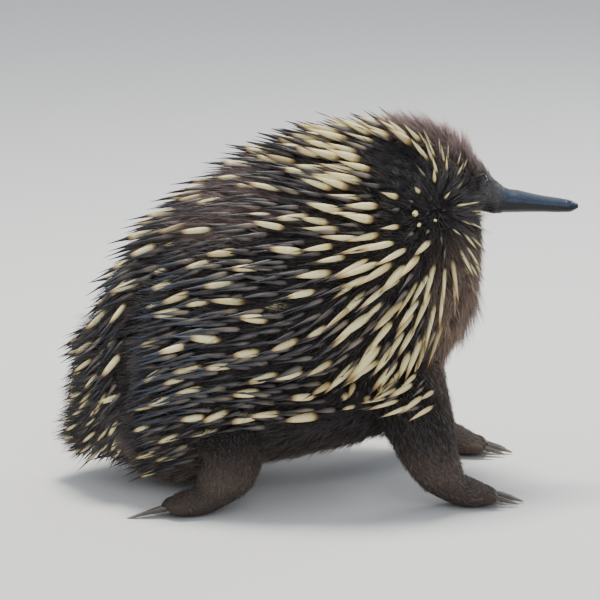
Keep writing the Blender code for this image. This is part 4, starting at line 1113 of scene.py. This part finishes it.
def spine_thickness(roots, length, draw):
    """How thick each spine is: less where it is short, on head, throat and rear and among mauve fur."""
    thick = np.where(roots.cream > 0, CREAM_THICK, DARK_THICK) * (1 + 0.12 * roots.normal(draw))
    on_head = ramp((roots.here[:, 0] / MM - 68) / 25)
    thick *= np.clip(length / (40 * MM), 0.4, 1.05) * (1 - THINNER_ON_HEAD * on_head)
    behind, haunch = behind_parting(roots.here)
    thick *= 1 - THINNER_ON_REAR * np.maximum(ramp((1.5 - roots.t) / 1.5), ramp(behind / 6) * haunch)
    on_mauve = within(roots.here, MAUVE_BACK)
    thick *= (1 - THINNER_ON_RIM * on_rim(roots.here)) * (1 - THINNER_ON_MAUVE * on_mauve)
    return thick * (1 - THINNER_ON_THROAT * over_shoulder(roots.here))


def shoulder_roots(limb, trunk_tree, draw):
    """Places for the spines that hang from the shoulder over the outside of a foreleg."""
    roots = Roots(limb, *tries_on(limb, 6000, 0.02, 0.5, draw))
    roots.keep((roots.out[:, 1] * limb.mirror > 0.6) & (seen_height(roots.here) > LOWEST_ON_LEG))
    clear_of(roots, [trunk_tree])
    roots.t = np.full(len(roots.t), float(STATIONS.index("shoulder")))
    roots.keep(spread_out(roots.here, at_station(SPINE_SPACINGS, roots.t) * MM))
    roots.on_limb = np.ones(len(roots.t), bool)
    return roots


def joined(roots, others):
    """Both sets of roots as one."""
    together = copy.copy(roots)
    for name, values in vars(roots).items():
        setattr(together, name, np.concatenate([values, getattr(others, name)]))
    return together


def before_parting(roots, length):
    """The lengths, cut where a tip of the flank would pass the parting, and 0 where too little is left."""
    behind, haunch = behind_parting(roots.here)
    most = (PARTING_OVERLAP - behind) * MM / np.maximum(-roots.direction[:, 0], 0.3)
    cut = np.where(most < SHORTEST_BY_PARTING, 0, np.minimum(length, most))
    on_flank = np.abs(roots.here[:, 1]) / MM > 32
    return np.where((behind < 0) & (haunch > 0.5) & on_flank, cut, length)


def shortened(tree, roots, length):
    """The lengths, cut down in steps until a tip hardly stands out of the trunk's outline."""
    proud = PROUD * (1 - 0.8 * ramp((roots.here[:, 0] / MM - 72) / 18) + rear_top(roots.t, roots.angle))
    left = np.ones(len(length), bool)
    scale = np.ones(len(length))
    for share in np.arange(1.0, 0.55, -0.08):
        scale[left] = share
        tips = roots.here[left] + roots.direction[left] * (length[left] * share)[:, None]
        left[left] = heights_over(tree, tips) > proud[left]
    return length * scale


def cream_share(roots):
    """The share of cream spines: low on flank and rump, higher over the back, highest on the shoulder."""
    x, v = roots.here[:, 0] / MM, seen_height(roots.here)
    share = LEAST_CREAM + MORE_OVER_BACK * ramp((v - 190) / 40)
    on_shoulder = SHOULDER_CREAM - LESS_HIGH_UP * ramp((v - 185) / 20)
    share += (on_shoulder - share) * ramp((x - 5) / 30)
    share += (1.0 - share) * np.maximum(ramp((roots.t - 7.6) / 0.8) * 0.8, on_rim(roots.here))
    behind, _ = behind_parting(roots.here)
    return np.where((behind > 0) & (v < 190), LEAST_CREAM, share)


def spine_shape(name, profile, shade_places):
    """A spine of length and greatest radius 1. The places say where its root, belly, needle and tip take
    their shades from the colour steps."""
    turn = np.linspace(0, 2 * math.pi, SPINE_SIDES, endpoint=False)
    ring = np.column_stack([np.cos(turn), np.sin(turn), 0 * turn])
    verts, faces = loft([ring * radius + [0, 0, share] for share, radius in profile])
    verts[-1, 2] = 1.0
    return tuft_object(name, verts, faces, stepped(shade_places, verts[:, 2]))


def tuft_object(name, verts, faces, along):
    """A shape that is repeated, with how far up it each vertex lies and its place in its patch."""
    made = mesh_object(name, verts, faces)
    along = np.clip(along, 0, 1)
    put_attribute(made.data, "along", along)
    reach = np.abs(verts[:, :2]).max()
    put_attribute(made.data, "patch", np.column_stack([verts[:, 0] / reach / 2, along - 0.5]))
    made.hide_render = True
    return made


def tuft_shape(name, blades, spread, bend, width, segments, seed):
    """A tuft of length 1: flattened tapering blades that splay from one root and bend over to -Y."""
    draw = np.random.default_rng(seed)
    turn = np.radians([90, 210, 330])
    verts, faces, along = [], [], []
    for blade in range(blades):
        heading = 2 * math.pi * (blade + draw.uniform(-0.3, 0.3)) / blades
        lean = spread * draw.uniform(0.5, 1.1)
        long = draw.uniform(0.72, 1.0)
        rise = np.array([math.cos(heading) * lean, math.sin(heading) * lean, 1.0])
        start = np.array([math.cos(heading), math.sin(heading), 0]) * spread * 0.35 * draw.uniform(0.2, 1)
        base = len(verts)
        for step in range(segments):
            share = step / segments
            middle = start + long * share * rise
            middle[1] -= bend * share**2
            size = width * (1 - share) ** 0.7
            verts += [middle + [math.cos(a) * size, math.sin(a) * size * 0.35, 0] for a in turn]
            along += [share] * 3
        verts.append(start + long * rise - [0, bend, 0])
        along.append(1.0)
        faces.append([base, base + 2, base + 1])
        for step in range(segments - 1):
            low = base + 3 * step
            faces += [[low + i, low + (i + 1) % 3, low + 3 + (i + 1) % 3, low + 3 + i] for i in range(3)]
        low = base + 3 * (segments - 1)
        faces += [[low + i, low + (i + 1) % 3, len(verts) - 1] for i in range(3)]
    return tuft_object(name, np.array(verts), faces, np.array(along))


def coat_tree():
    """Nodes that set a shape on every root, turned and sized as the root says, with its bake patch."""
    tree = bpy.data.node_groups.new("coat_on_roots", "GeometryNodeTree")
    for label, kind in (
        ("Roots", "NodeSocketGeometry"),
        ("Shape", "NodeSocketObject"),
        ("Least roll", "NodeSocketFloat"),
        ("Most roll", "NodeSocketFloat"),
        ("Patch size", "NodeSocketFloat"),
        ("Seed", "NodeSocketInt"),
        ("Finish", "NodeSocketMaterial"),
    ):
        tree.interface.new_socket(label, in_out="INPUT", socket_type=kind)
    tree.interface.new_socket("Coat", in_out="OUTPUT", socket_type="NodeSocketGeometry")
    given = tree.nodes.new("NodeGroupInput").outputs

    def add(kind, settings, inputs):
        return add_node(tree, kind, settings, inputs)

    def stored(name, kind):
        return add("GeometryNodeInputNamedAttribute", {"data_type": kind}, {"Name": name})["Attribute"]

    axes = {"Primary Axis": stored("direction", "FLOAT_VECTOR"),
            "Secondary Axis": stored("out", "FLOAT_VECTOR")}
    named = {"primary_axis": "Z", "secondary_axis": "Y"}
    facing = add("FunctionNodeAxesToRotation", named, axes)["Rotation"]
    span = {"Min_001": given["Least roll"], "Max_001": given["Most roll"], "Seed": given["Seed"]}
    roll = add("FunctionNodeRandomValue", {"data_type": "FLOAT"}, span)["Value_001"]
    about = add("ShaderNodeCombineXYZ", {}, {"Z": roll})["Vector"]
    turn = add("FunctionNodeEulerToRotation", {}, {"Euler": about})["Rotation"]
    turned_to = {"Rotation": facing, "Rotate By": turn}
    rotation = add("FunctionNodeRotateRotation", {"rotation_space": "LOCAL"}, turned_to)["Rotation"]
    shape = add("GeometryNodeObjectInfo", {}, {"Object": given["Shape"]})["Geometry"]
    placed = {"Points": given["Roots"], "Instance": shape, "Rotation": rotation,
              "Scale": stored("size", "FLOAT_VECTOR")}
    set_on = add("GeometryNodeInstanceOnPoints", {}, placed)["Instances"]
    coat = add("GeometryNodeRealizeInstances", {}, {"Geometry": set_on})["Geometry"]
    patch = {0: stored("patch", "FLOAT_VECTOR"), "Scale": given["Patch size"]}
    offset = add("ShaderNodeVectorMath", {"operation": "SCALE"}, patch)["Vector"]
    place = {0: offset, 1: stored("bake_root", "FLOAT_VECTOR")}
    on_map = add("ShaderNodeVectorMath", {"operation": "ADD"}, place)["Vector"]
    kept = {"Geometry": coat, "Name": "OFBake", "Value": on_map}
    kind = {"data_type": "FLOAT2", "domain": "CORNER"}
    coat = add("GeometryNodeStoreNamedAttribute", kind, kept)["Geometry"]
    for name in ("direction", "out", "size", "bake_root", "patch"):
        coat = add("GeometryNodeRemoveAttribute", {}, {"Geometry": coat, "Name": name})["Geometry"]
    coat = add("GeometryNodeSetMaterial", {}, {"Geometry": coat, "Material": given["Finish"]})["Geometry"]
    tree.links.new(coat, tree.nodes.new("NodeGroupOutput").inputs["Coat"])
    return tree


def add_node(tree, kind, settings, inputs):
    """A new node with these settings and inputs. Gives its outputs by name or identifier."""
    node = tree.nodes.new(kind)
    for name, value in settings.items():
        setattr(node, name, value)
    for name, value in inputs.items():
        if isinstance(name, int):
            socket = node.inputs[name]
        else:
            socket = next(s for s in node.inputs if s.enabled and name in (s.identifier, s.name))
        if isinstance(value, bpy.types.NodeSocket):
            tree.links.new(value, socket)
        else:
            socket.default_value = value
    outputs = {s.name: s for s in node.outputs if s.enabled}
    return outputs | {s.identifier: s for s in node.outputs if s.enabled}


def grow(name, roots, tree, shape, finish, roll, seed, slot):
    """One piece of the coat: the shape set on every root, as a plain mesh."""
    mesh = bpy.data.meshes.new(name)
    mesh.from_pydata((roots.here - roots.direction * roots.sink[:, None]).tolist(), [], [])
    put_attribute(mesh, "bake_root", np.column_stack([roots.bake, 0 * roots.t]))
    put_attribute(mesh, "shade", np.column_stack([roots.shade, 0 * roots.t + 1]))
    for label in ("direction", "out", "size", "cream", "pale", "cool", "tone"):
        put_attribute(mesh, label, getattr(roots, label))
    coat = new_object(name, mesh)
    modifier = coat.modifiers.new("coat", "NODES")
    modifier.node_group = tree
    values = {"Shape": shape, "Least roll": -roll, "Most roll": roll, "Patch size": PATCH, "Seed": seed,
              "Finish": finish}
    for socket in tree.interface.items_tree:
        if socket.in_out == "INPUT" and socket.name in values:
            modifier[socket.identifier] = values[socket.name]
    applied(coat)
    coat.data.name = name
    coat.data.shade_smooth()
    dress(coat, None, slot)


def finish_roots(roots, length, thick, draw, dark=0.2):
    """Gives tufts their size, tone and colour, and shortens those that would reach under the floor."""
    count = len(roots.t)
    length = length * (1 + 0.16 * np.clip(roots.normal(draw), -2, 2))
    fall = np.maximum(-roots.direction[:, 2], 1e-6)
    length = np.minimum(length, np.maximum(roots.here[:, 2] - LOWEST_TIP, 0.4 * MM) / fall)
    thick = thick * (1 + 0.15 * roots.normal(draw))
    roots.size = np.column_stack([thick, thick, length])
    roots.sink = np.full(count, FUR_SINK)
    roots.tone = draw.random(count)
    roots.cream = roots.pale = roots.cool = np.zeros(count)
    roots.shade = markings_and_painted_shade(roots.here) * (1 + dark * (draw.random((count, 1)) - 0.5) * 2)
    return roots


def among_spines(trunk, draw, gap):
    """Places for the fur between the spines, closer together by the ear and in the hollow behind it."""
    roots = Roots(trunk, *tries_on(trunk, FUR_TRIES, TAIL_END, FIELD_FRONT, draw))
    roots.keep(spiny(roots.t, roots.angle) > 0.15)
    x, v = roots.here[:, 0] / MM, seen_height(roots.here)
    by_ear = 1 - ramp((np.hypot(x - EAR_WHORL[0], v - EAR_WHORL[1]) - 8) / 14)
    roots.keep(spread_out(roots.here, gap * (1 - 0.35 * np.maximum(within(roots.here, HOLLOW), by_ear))))
    aim, roots.erect = combed(roots.here)
    flat = np.column_stack([aim[:, 0], 0 * aim[:, 0], aim[:, 1]])
    roots.lie = roots.turned(squared(flat, roots.out), 0.35, draw)
    return roots


def undercoat_roots(trunk, draw):
    """The dark fur between the spines, which lies as they do and hides their roots."""
    roots = among_spines(trunk, draw, UNDERCOAT_GAP)
    rear = rear_top(roots.t, roots.angle)
    roots.stand(UNDERCOAT_LIFT, draw, MORE_WHERE_ERECT * roots.erect + 14 * rear)
    in_hollow = within(roots.here, HOLLOW)
    length = np.minimum(at_station(SPINE_DEPTH, roots.t) * 0.95, 18) * MM
    length *= (1 - 0.45 * in_hollow) * (1 + 0.2 * within(roots.here, MAUVE_BACK) + 0.25 * rear)
    return finish_roots(roots, length, UNDERCOAT_THICK * (1 - 0.2 * in_hollow), draw)


def guard_hair_roots(trunk, draw):
    """Longer, finer hairs with light tips, most of them on the mauve part of the back and by the hollow."""
    roots = among_spines(trunk, draw, GUARD_HAIR_GAP)
    roots.mauve, roots.by_hollow = within(roots.here, MAUVE_BACK), within(roots.here, BEHIND_HOLLOW)
    share = (0.6 + 0.4 * np.maximum(roots.mauve, roots.by_hollow)) * (1 - within(roots.here, BARE_HOLLOW))
    roots.keep(draw.random(len(roots.t)) < share)
    roots.stand(GUARD_HAIR_LIFT, draw, MORE_WHERE_ERECT * roots.erect + 4 * roots.mauve)
    length = np.minimum(at_station(SPINE_DEPTH, roots.t) * 1.05, 20) * MM
    length *= 1 + 0.15 * roots.by_hollow + 0.25 * roots.mauve
    return finish_roots(roots, length, GUARD_HAIR_THICK, draw)


def fur_roots(trunk, draw, low, high, gap, turn=0.3):
    """Places for fur outside the spiny field, over a stretch of the trunk."""
    roots = Roots(trunk, *tries_on(trunk, FUR_TRIES, low, high, draw))
    roots.keep(spiny(roots.t, roots.angle) < 0.75)
    roots.keep(spread_out(roots.here, gap(roots)))
    roots.lie = roots.turned(roots.along, turn, draw)
    return roots


def clear_of(roots, trees):
    """Drops the roots that lie inside another surface."""
    for tree in trees:
        roots.keep(heights_over(tree, roots.here) > 0)


def body_fur(trunk, limb_trees, draw, low, gap):
    """Soft fur of belly, chest and throat."""
    roots = fur_roots(trunk, draw, low, CHEST_END, lambda r: np.full(len(r.t), gap))
    roots.keep(np.degrees(from_back(roots.angle)) > 60)
    clear_of(roots, limb_trees)
    roots.stand(BODY_FUR_LIFT, draw)
    length = stepped(BELLY_FUR, roots.t) * MM * (1 + 0.5 * within(roots.here, FRINGE))
    return finish_roots(roots, length, BODY_FUR_THICK, draw, 0.3)


def head_fur(trunk, eyes, draw, high, apart):
    """Bristly fur of the crown that grows short and fine to the beak's root."""
    def gaps(roots):
        return stepped(HEAD_FUR_GAPS, roots.t) * MM * apart

    roots = fur_roots(trunk, draw, HEAD_START, high, gaps, turn=0.22)
    roots.keep((roots.t > FIELD_FRONT - 0.3) | (np.degrees(from_back(roots.angle)) < 70))
    for eye in eyes:
        climb_lids(roots, eye)
    on_top = ramp((80 - np.degrees(from_back(roots.angle))) / 40)
    at_side = stepped(SIDE_FUR, roots.t)
    length = (at_side + (stepped(TOP_FUR, roots.t) - at_side) * on_top) * MM
    from_eyes = np.min([np.linalg.norm(roots.here - eye["middle"], axis=1) for eye in eyes], axis=0) / MM
    by_eye = 1 - ramp((from_eyes - 5) / 8)
    length *= 1 - 0.35 * by_eye
    roots.stand(HEAD_FUR_LIFT, draw, 22 * on_top * ramp((12.5 - roots.t) / 2))
    return finish_roots(roots, length, 0.9 * MM + length * 0.26, draw, 0.3)


def climb_lids(roots, eye):
    """Lifts the roots under an eye's lids onto them and drops those in the opening."""
    away = roots.here - eye["middle"]
    far = np.linalg.norm(away, axis=1)
    lid = eye["radius"] + LID_THICKNESS
    outward = unit(away)
    under = (far < lid) & (outward @ eye["axes"][2] > 0)
    roots.here[under] = eye["middle"] + outward[under] * lid
    roots.out[under] = outward[under]
    roots.keep(~((far < lid) & (outward @ eye["axes"][2] > LID_OPEN)))


def limb_fur(limb, body_tree, draw):
    """Short bristly fur of a leg, shortest on the foot and none on its sole."""
    roots = Roots(limb, *tries_on(limb, 14000, 0.05, 1.0 + TOE_CLOSING * 0.6, draw))
    roots.keep((roots.here[:, 2] > 3 * MM) & ((roots.out[:, 2] > -0.75) | (roots.t < 0.55)))
    clear_of(roots, [body_tree])
    roots.keep(spread_out(roots.here, stepped(LEG_FUR_GAPS, roots.t) * MM))
    roots.lie = roots.turned(roots.along, 0.3, draw)
    roots.stand(LEG_FUR_LIFT, draw)
    length = stepped(LEG_FUR, roots.t) * MM
    return finish_roots(roots, length, 1.0 * MM + length * 0.28, draw, 0.25)


# Finishes

def new_finish(name, **values):
    """A material and its shader, with these inputs set."""
    made = bpy.data.materials.new(name)
    made.use_nodes = True
    shader = made.node_tree.nodes["Principled BSDF"]
    for label, value in values.items():
        shader.inputs[label.replace("_", " ")].default_value = value
    return made, made.node_tree, shader


def noise(tree, scale, detail=2.0):
    """Noise over the object's own coordinates."""
    place = add_node(tree, "ShaderNodeTexCoord", {}, {})["Object"]
    given = {"Vector": place, "Scale": scale, "Detail": detail}
    return add_node(tree, "ShaderNodeTexNoise", {}, given)["Fac"]


def stored_value(tree, name, output="Fac"):
    return add_node(tree, "ShaderNodeAttribute", {"attribute_name": name}, {})[output]


def colour_steps(tree, factor, steps):
    """A colour ramp through (place, colour) steps."""
    node = tree.nodes.new("ShaderNodeValToRGB")
    elements = node.color_ramp.elements
    while len(elements) > 1:
        elements.remove(elements[-1])
    elements[0].position, elements[0].color = steps[0][0], (*steps[0][1], 1)
    for place, colour in steps[1:]:
        elements.new(place).color = (*colour, 1)
    tree.links.new(factor, node.inputs["Fac"])
    return node.outputs["Color"]


def mix(tree, factor, first, second, blend="MIX"):
    """Two colours mixed by the factor."""
    settings = {"data_type": "RGBA", "blend_type": blend}
    return add_node(tree, "ShaderNodeMix", settings, {0: factor, 6: first, 7: second})["Result_Color"]


def math_node(tree, operation, first, second):
    return add_node(tree, "ShaderNodeMath", {"operation": operation}, {0: first, 1: second})["Value"]


def add_bump(tree, shader, height, strength, distance):
    given = {"Height": height, "Strength": strength, "Distance": distance}
    bump = add_node(tree, "ShaderNodeBump", {}, given)
    tree.links.new(bump["Normal"], shader.inputs["Normal"])


def spine_finish():
    made, tree, shader = new_finish("spine_horn", Roughness=0.4, Specular_IOR_Level=0.34)
    along = math_node(tree, "MULTIPLY", stored_value(tree, "along"), stored_value(tree, "pale"))
    tone = stored_value(tree, "tone")
    shift = math_node(tree, "MULTIPLY_ADD", tone, 0.08)
    shift.node.inputs[2].default_value = -0.04
    place = math_node(tree, "ADD", along, shift)
    cream = colour_steps(tree, place, CREAM_STEPS)
    cream = mix(tree, 1.0, cream, colour_steps(tree, tone, CREAM_TONES), "MULTIPLY")
    # dark spines: a lighter belly, partly painted sheen, and a faintly bluish needle, a painted reflection
    dark = colour_steps(tree, place, DARK_STEPS)
    dark = mix(tree, 1.0, dark, colour_steps(tree, tone, DARK_TONES), "MULTIPLY")
    colour = mix(tree, stored_value(tree, "cream"), dark, cream)
    # Painted reflection: on the lower flank the needles take the sky's bluish reflection towards their tips.
    needle = colour_steps(tree, place, [(0.56, (0.0,) * 3), (0.72, (0.55,) * 3)])
    reflection_share = math_node(tree, "MULTIPLY", needle, stored_value(tree, "cool"))
    colour = mix(tree, reflection_share, colour, (*PAINTED_REFLECTION_BLUE, 1))
    streak = colour_steps(tree, noise(tree, 900.0), [(0.3, (0.78, 0.76, 0.74)), (0.7, (1.0, 1.0, 1.0))])
    tree.links.new(mix(tree, 0.7, colour, streak, "MULTIPLY"), shader.inputs["Base Color"])
    add_bump(tree, shader, noise(tree, 1600.0), 0.25, 0.0002)
    return made


def fur_finish(name, tip):
    """Fur that is darker at its roots and lighter at its tips by the factor tip, partly the hairs' own paler
    tips and partly painted light on them.
    """
    made, tree, shader = new_finish(name, Roughness=0.52, Sheen_Weight=0.15, Sheen_Roughness=0.4)
    along = stored_value(tree, "along")
    lighter = colour_steps(tree, along, [(0.0, (0.4,) * 3), (0.5, (0.9,) * 3), (1.0, (tip,) * 3)])
    colour = mix(tree, 1.0, stored_value(tree, "shade", "Color"), lighter, "MULTIPLY")
    tree.links.new(colour, shader.inputs["Base Color"])
    return made


def skin_finish(name, roughness, gloss):
    """Fur-coloured skin that turns to slate leather on the beak, with a painted bluish reflection along its
    upper side, a painted lighter top and pale specks painted as glints. The beak's own finish is glossier.
    """
    made, tree, shader = new_finish(name, Roughness=roughness, Specular_IOR_Level=0.22, Coat_Weight=gloss,
                                    Coat_Roughness=0.25)
    pores = add_node(tree, "ShaderNodeTexVoronoi", {}, {
        "Vector": add_node(tree, "ShaderNodeTexCoord", {}, {})["Object"], "Scale": 1100.0})["Distance"]
    uneven = math_node(tree, "MULTIPLY_ADD", noise(tree, 420.0, 4.0), 0.24)
    uneven.node.inputs[2].default_value = -0.12
    # the beak's slate with its painted reflection and painted lighter top
    slate = colour_steps(tree, math_node(tree, "ADD", stored_value(tree, "rise"), uneven), BEAK_SLATE_AND_PAINTED_SHEEN)
    # Painted glints: pale specks at the pores stand for the glints of the wet beak.
    painted_glints = colour_steps(tree, pores, [(0.1, (1.6, 1.6, 1.6)), (0.35, (0.85, 0.85, 0.85))])
    slate = mix(tree, 0.7, slate, painted_glints, "MULTIPLY")
    colour = mix(tree, stored_value(tree, "beak"), stored_value(tree, "shade", "Color"), slate)
    tree.links.new(colour, shader.inputs["Base Color"])
    add_bump(tree, shader, math_node(tree, "ADD", pores, noise(tree, 900.0, 3.0)), 0.14, 0.0003)
    return made


def eye_finish():
    made, tree, shader = new_finish("eye_dark", Roughness=0.05, Coat_Weight=0.6, Coat_Roughness=0.03)
    tint = colour_steps(tree, noise(tree, 300.0), EYE_TINTS)
    tree.links.new(tint, shader.inputs["Base Color"])
    return made


def ear_finish():
    made, tree, shader = new_finish("ear_leather", Roughness=0.6)
    tint = colour_steps(tree, noise(tree, 500.0, 3.0), EAR_TINTS)
    tree.links.new(tint, shader.inputs["Base Color"])
    add_bump(tree, shader, noise(tree, 900.0, 3.0), 0.4, 0.0003)
    return made


def claw_finish():
    made, tree, shader = new_finish("claw_horn", Roughness=0.38)
    along = stored_value(tree, "along")
    base = colour_steps(tree, along, CLAW_STEPS)
    streak = colour_steps(tree, noise(tree, 380.0, 4.0), [(0.3, (0.55,) * 3), (0.7, (1.1,) * 3)])
    tree.links.new(mix(tree, 0.8, base, streak, "MULTIPLY"), shader.inputs["Base Color"])
    add_bump(tree, shader, noise(tree, 800.0, 3.0), 0.3, 0.0003)
    return made


def dress(piece, finish, slot, *nodes):
    """Gives a piece its finish and its body, and hides the nodes that it stands for. The slot is not used.
    """
    if finish:
        piece.data.materials.clear()
        piece.data.materials.append(finish)
    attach(piece, "root")
    if nodes:
        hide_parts(*nodes)
    return piece


# Picture

def add_light(name, place, aim, size, power, colour=(1, 1, 1)):
    data = bpy.data.lights.new(name, "AREA")
    data.shape = "DISK"
    data.size, data.energy, data.color = size, power, colour
    light = new_object(name, data)
    light.location = place
    light.rotation_euler = (Vector(aim) - Vector(place)).to_track_quat("-Z", "Y").to_euler()


def set_stage():
    """A pale floor, soft light from above and behind with a wide fill in front, and the camera."""
    bpy.ops.mesh.primitive_plane_add(size=12, location=(0, 0, 0))
    floor = bpy.context.object
    floor.name = "floor"
    pale = new_finish("floor_pale", Roughness=0.9, Base_Color=(0.80, 0.79, 0.77, 1))[0]
    floor.data.materials.append(pale)
    world = bpy.data.worlds.new("studio")
    world.use_nodes = True
    world.node_tree.nodes["Background"].inputs["Color"].default_value = (0.80, 0.86, 0.95, 1)
    world.node_tree.nodes["Background"].inputs["Strength"].default_value = 0.70
    bpy.context.scene.world = world
    middle = (0, 0, 0.13)
    add_light("key", (-0.15, 0.35, 1.9), middle, 0.6, 46, (1.0, 0.96, 0.90))
    add_light("fill", (0.5, -2.2, 1.1), middle, 1.8, 19, (0.92, 0.96, 1.0))
    add_light("rim", (1.3, 1.4, 1.0), middle, 0.9, 12, (0.95, 0.98, 1.0))
    data = bpy.data.cameras.new("camera")
    data.lens = data.sensor_width * CAMERA_AWAY / PICTURE_WIDTH
    data.clip_start = 0.01
    camera = new_object("camera", data)
    away = Vector((0, -math.cos(CAMERA_RISE), math.sin(CAMERA_RISE)))
    camera.location = Vector(CAMERA_AIM) + away * CAMERA_AWAY
    camera.rotation_euler = (-away).to_track_quat("-Z", "Y").to_euler()
    bpy.context.scene.camera = camera


def sides_of(roots):
    """The roots of the left and of the right side."""
    for label, mask in (("left", roots.here[:, 1] > 0), ("right", roots.here[:, 1] <= 0)):
        yield label, roots.part(mask)


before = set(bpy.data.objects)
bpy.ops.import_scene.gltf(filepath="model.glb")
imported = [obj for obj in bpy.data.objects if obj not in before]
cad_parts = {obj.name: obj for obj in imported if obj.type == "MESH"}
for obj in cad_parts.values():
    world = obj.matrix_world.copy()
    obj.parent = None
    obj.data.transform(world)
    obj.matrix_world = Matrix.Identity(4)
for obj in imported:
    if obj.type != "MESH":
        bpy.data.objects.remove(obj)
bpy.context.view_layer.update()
draw = np.random.default_rng(SEED)
limbs = make_limbs()
eyes = [eye_of(TRUNK_SHAPE, "eye_left", 1), eye_of(TRUNK_SHAPE, "eye_right", -1)]
skin = make_skin(TRUNK_SHAPE, limbs, eyes)
mark_skin(skin.data)
FLESH = ["tail", "rump", "torso", "neck", "head", "beak"]
for part in ("foreleg", "forefoot", "hindleg", "hindfoot"):
    FLESH += [part + "_left", part + "_right"]
dress(skin, skin_finish("furred_skin", roughness=0.8, gloss=0.0), "beak_skin", *FLESH)
skin.data.materials.append(skin_finish("beak_leather", roughness=0.36, gloss=0.22))
beak_faces(skin.data)
eye_dark, ear_leather = eye_finish(), ear_finish()
for eye in eyes:
    dress(make_eye(eye), eye_dark, "eye", eye["node"])
for node, side in (("ear_left", 1), ("ear_right", -1)):
    dress(make_ear(node, TRUNK_SHAPE, side), ear_leather, "ear_skin", node)
dress(make_claws(limbs), claw_finish(), "leg_fur")

horn, fur = spine_finish(), fur_finish("fur", tip=1.6)
tipped, guard = fur_finish("light_tipped_fur", tip=2.2), fur_finish("guard_hair", tip=3.2)
tree = coat_tree()
stout, slim = spine_shape("stout_spine", STOUT, STOUT_SHADES), spine_shape("slim_spine", SLIM, SLIM_SHADES)
soft = tuft_shape("soft_tuft", blades=4, spread=0.34, bend=0.45, width=0.075, segments=3, seed=5)
short = tuft_shape("short_tuft", blades=4, spread=0.42, bend=0.30, width=0.11, segments=2, seed=7)
fluffy = tuft_shape("fluffy_tuft", blades=6, spread=0.50, bend=0.30, width=0.065, segments=2, seed=11)
hairs = tuft_shape("guard_hairs", blades=4, spread=0.30, bend=0.35, width=0.036, segments=3, seed=13)
trunk_tree = search_tree(trunk_rings(TRUNK_SHAPE))
limb_trees = [search_tree(limb_rings(limb)) for limb in limbs]
for side, roots in sides_of(spine_roots(TRUNK_SHAPE, limbs, trunk_tree, draw)):
    for name, shape, mask in (("spines", stout, ~roots.slim), ("throat_spines", slim, roots.slim)):
        grow(f"{name}_{side}", roots.part(mask), tree, shape, horn, math.pi, 1, "spiny_coat")
for side, roots in sides_of(undercoat_roots(TRUNK_SHAPE, draw)):
    for part, mask in (("rear", roots.t < REAR_END), ("front", roots.t >= REAR_END)):
        grow(f"undercoat_{part}_{side}", roots.part(mask), tree, fluffy, fur, 0.6, 2, "spiny_coat")

# Each fur's roots, the scale of its tufts, and the shape, finish, roll, seed and slot of its pieces.
for name, places, scale, look in (
    ("guard_hairs", guard_hair_roots(TRUNK_SHAPE, draw), 1, (hairs, guard, 0.6, 6, "spiny_coat")),
    ("body_fur", body_fur(TRUNK_SHAPE, limb_trees, draw, BELLY_START, BODY_FUR_GAP), 1,
     (soft, tipped, 0.5, 3, "leg_fur")),
    ("chest_hairs", body_fur(TRUNK_SHAPE, limb_trees, draw, CHEST_START, CHEST_HAIR_GAP), CHEST_HAIR_SCALE,
     (hairs, guard, 0.5, 8, "leg_fur")),
    ("head_fur", head_fur(TRUNK_SHAPE, eyes, draw, HEAD_FUR_END, 1.0), 1, (short, fur, 0.5, 4, "leg_fur")),
    ("crown_hairs", head_fur(TRUNK_SHAPE, eyes, draw, CROWN_HAIR_END, 1.1), CROWN_HAIR_SCALE,
     (hairs, guard, 0.5, 7, "leg_fur")),
):
    for side, roots in sides_of(places):
        roots.size = roots.size * scale
        grow(f"{name}_{side}", roots, tree, *look)
for limb in limbs:
    side = "left" if limb.mirror > 0 else "right"
    roots = limb_fur(limb, trunk_tree, draw)
    grow(f"{limb.name}leg_fur_{side}", roots, tree, short, fur, 0.5, 5, "leg_fur")
for shape in (stout, slim, soft, short, fluffy, hairs):
    bpy.data.objects.remove(shape)
set_stage()
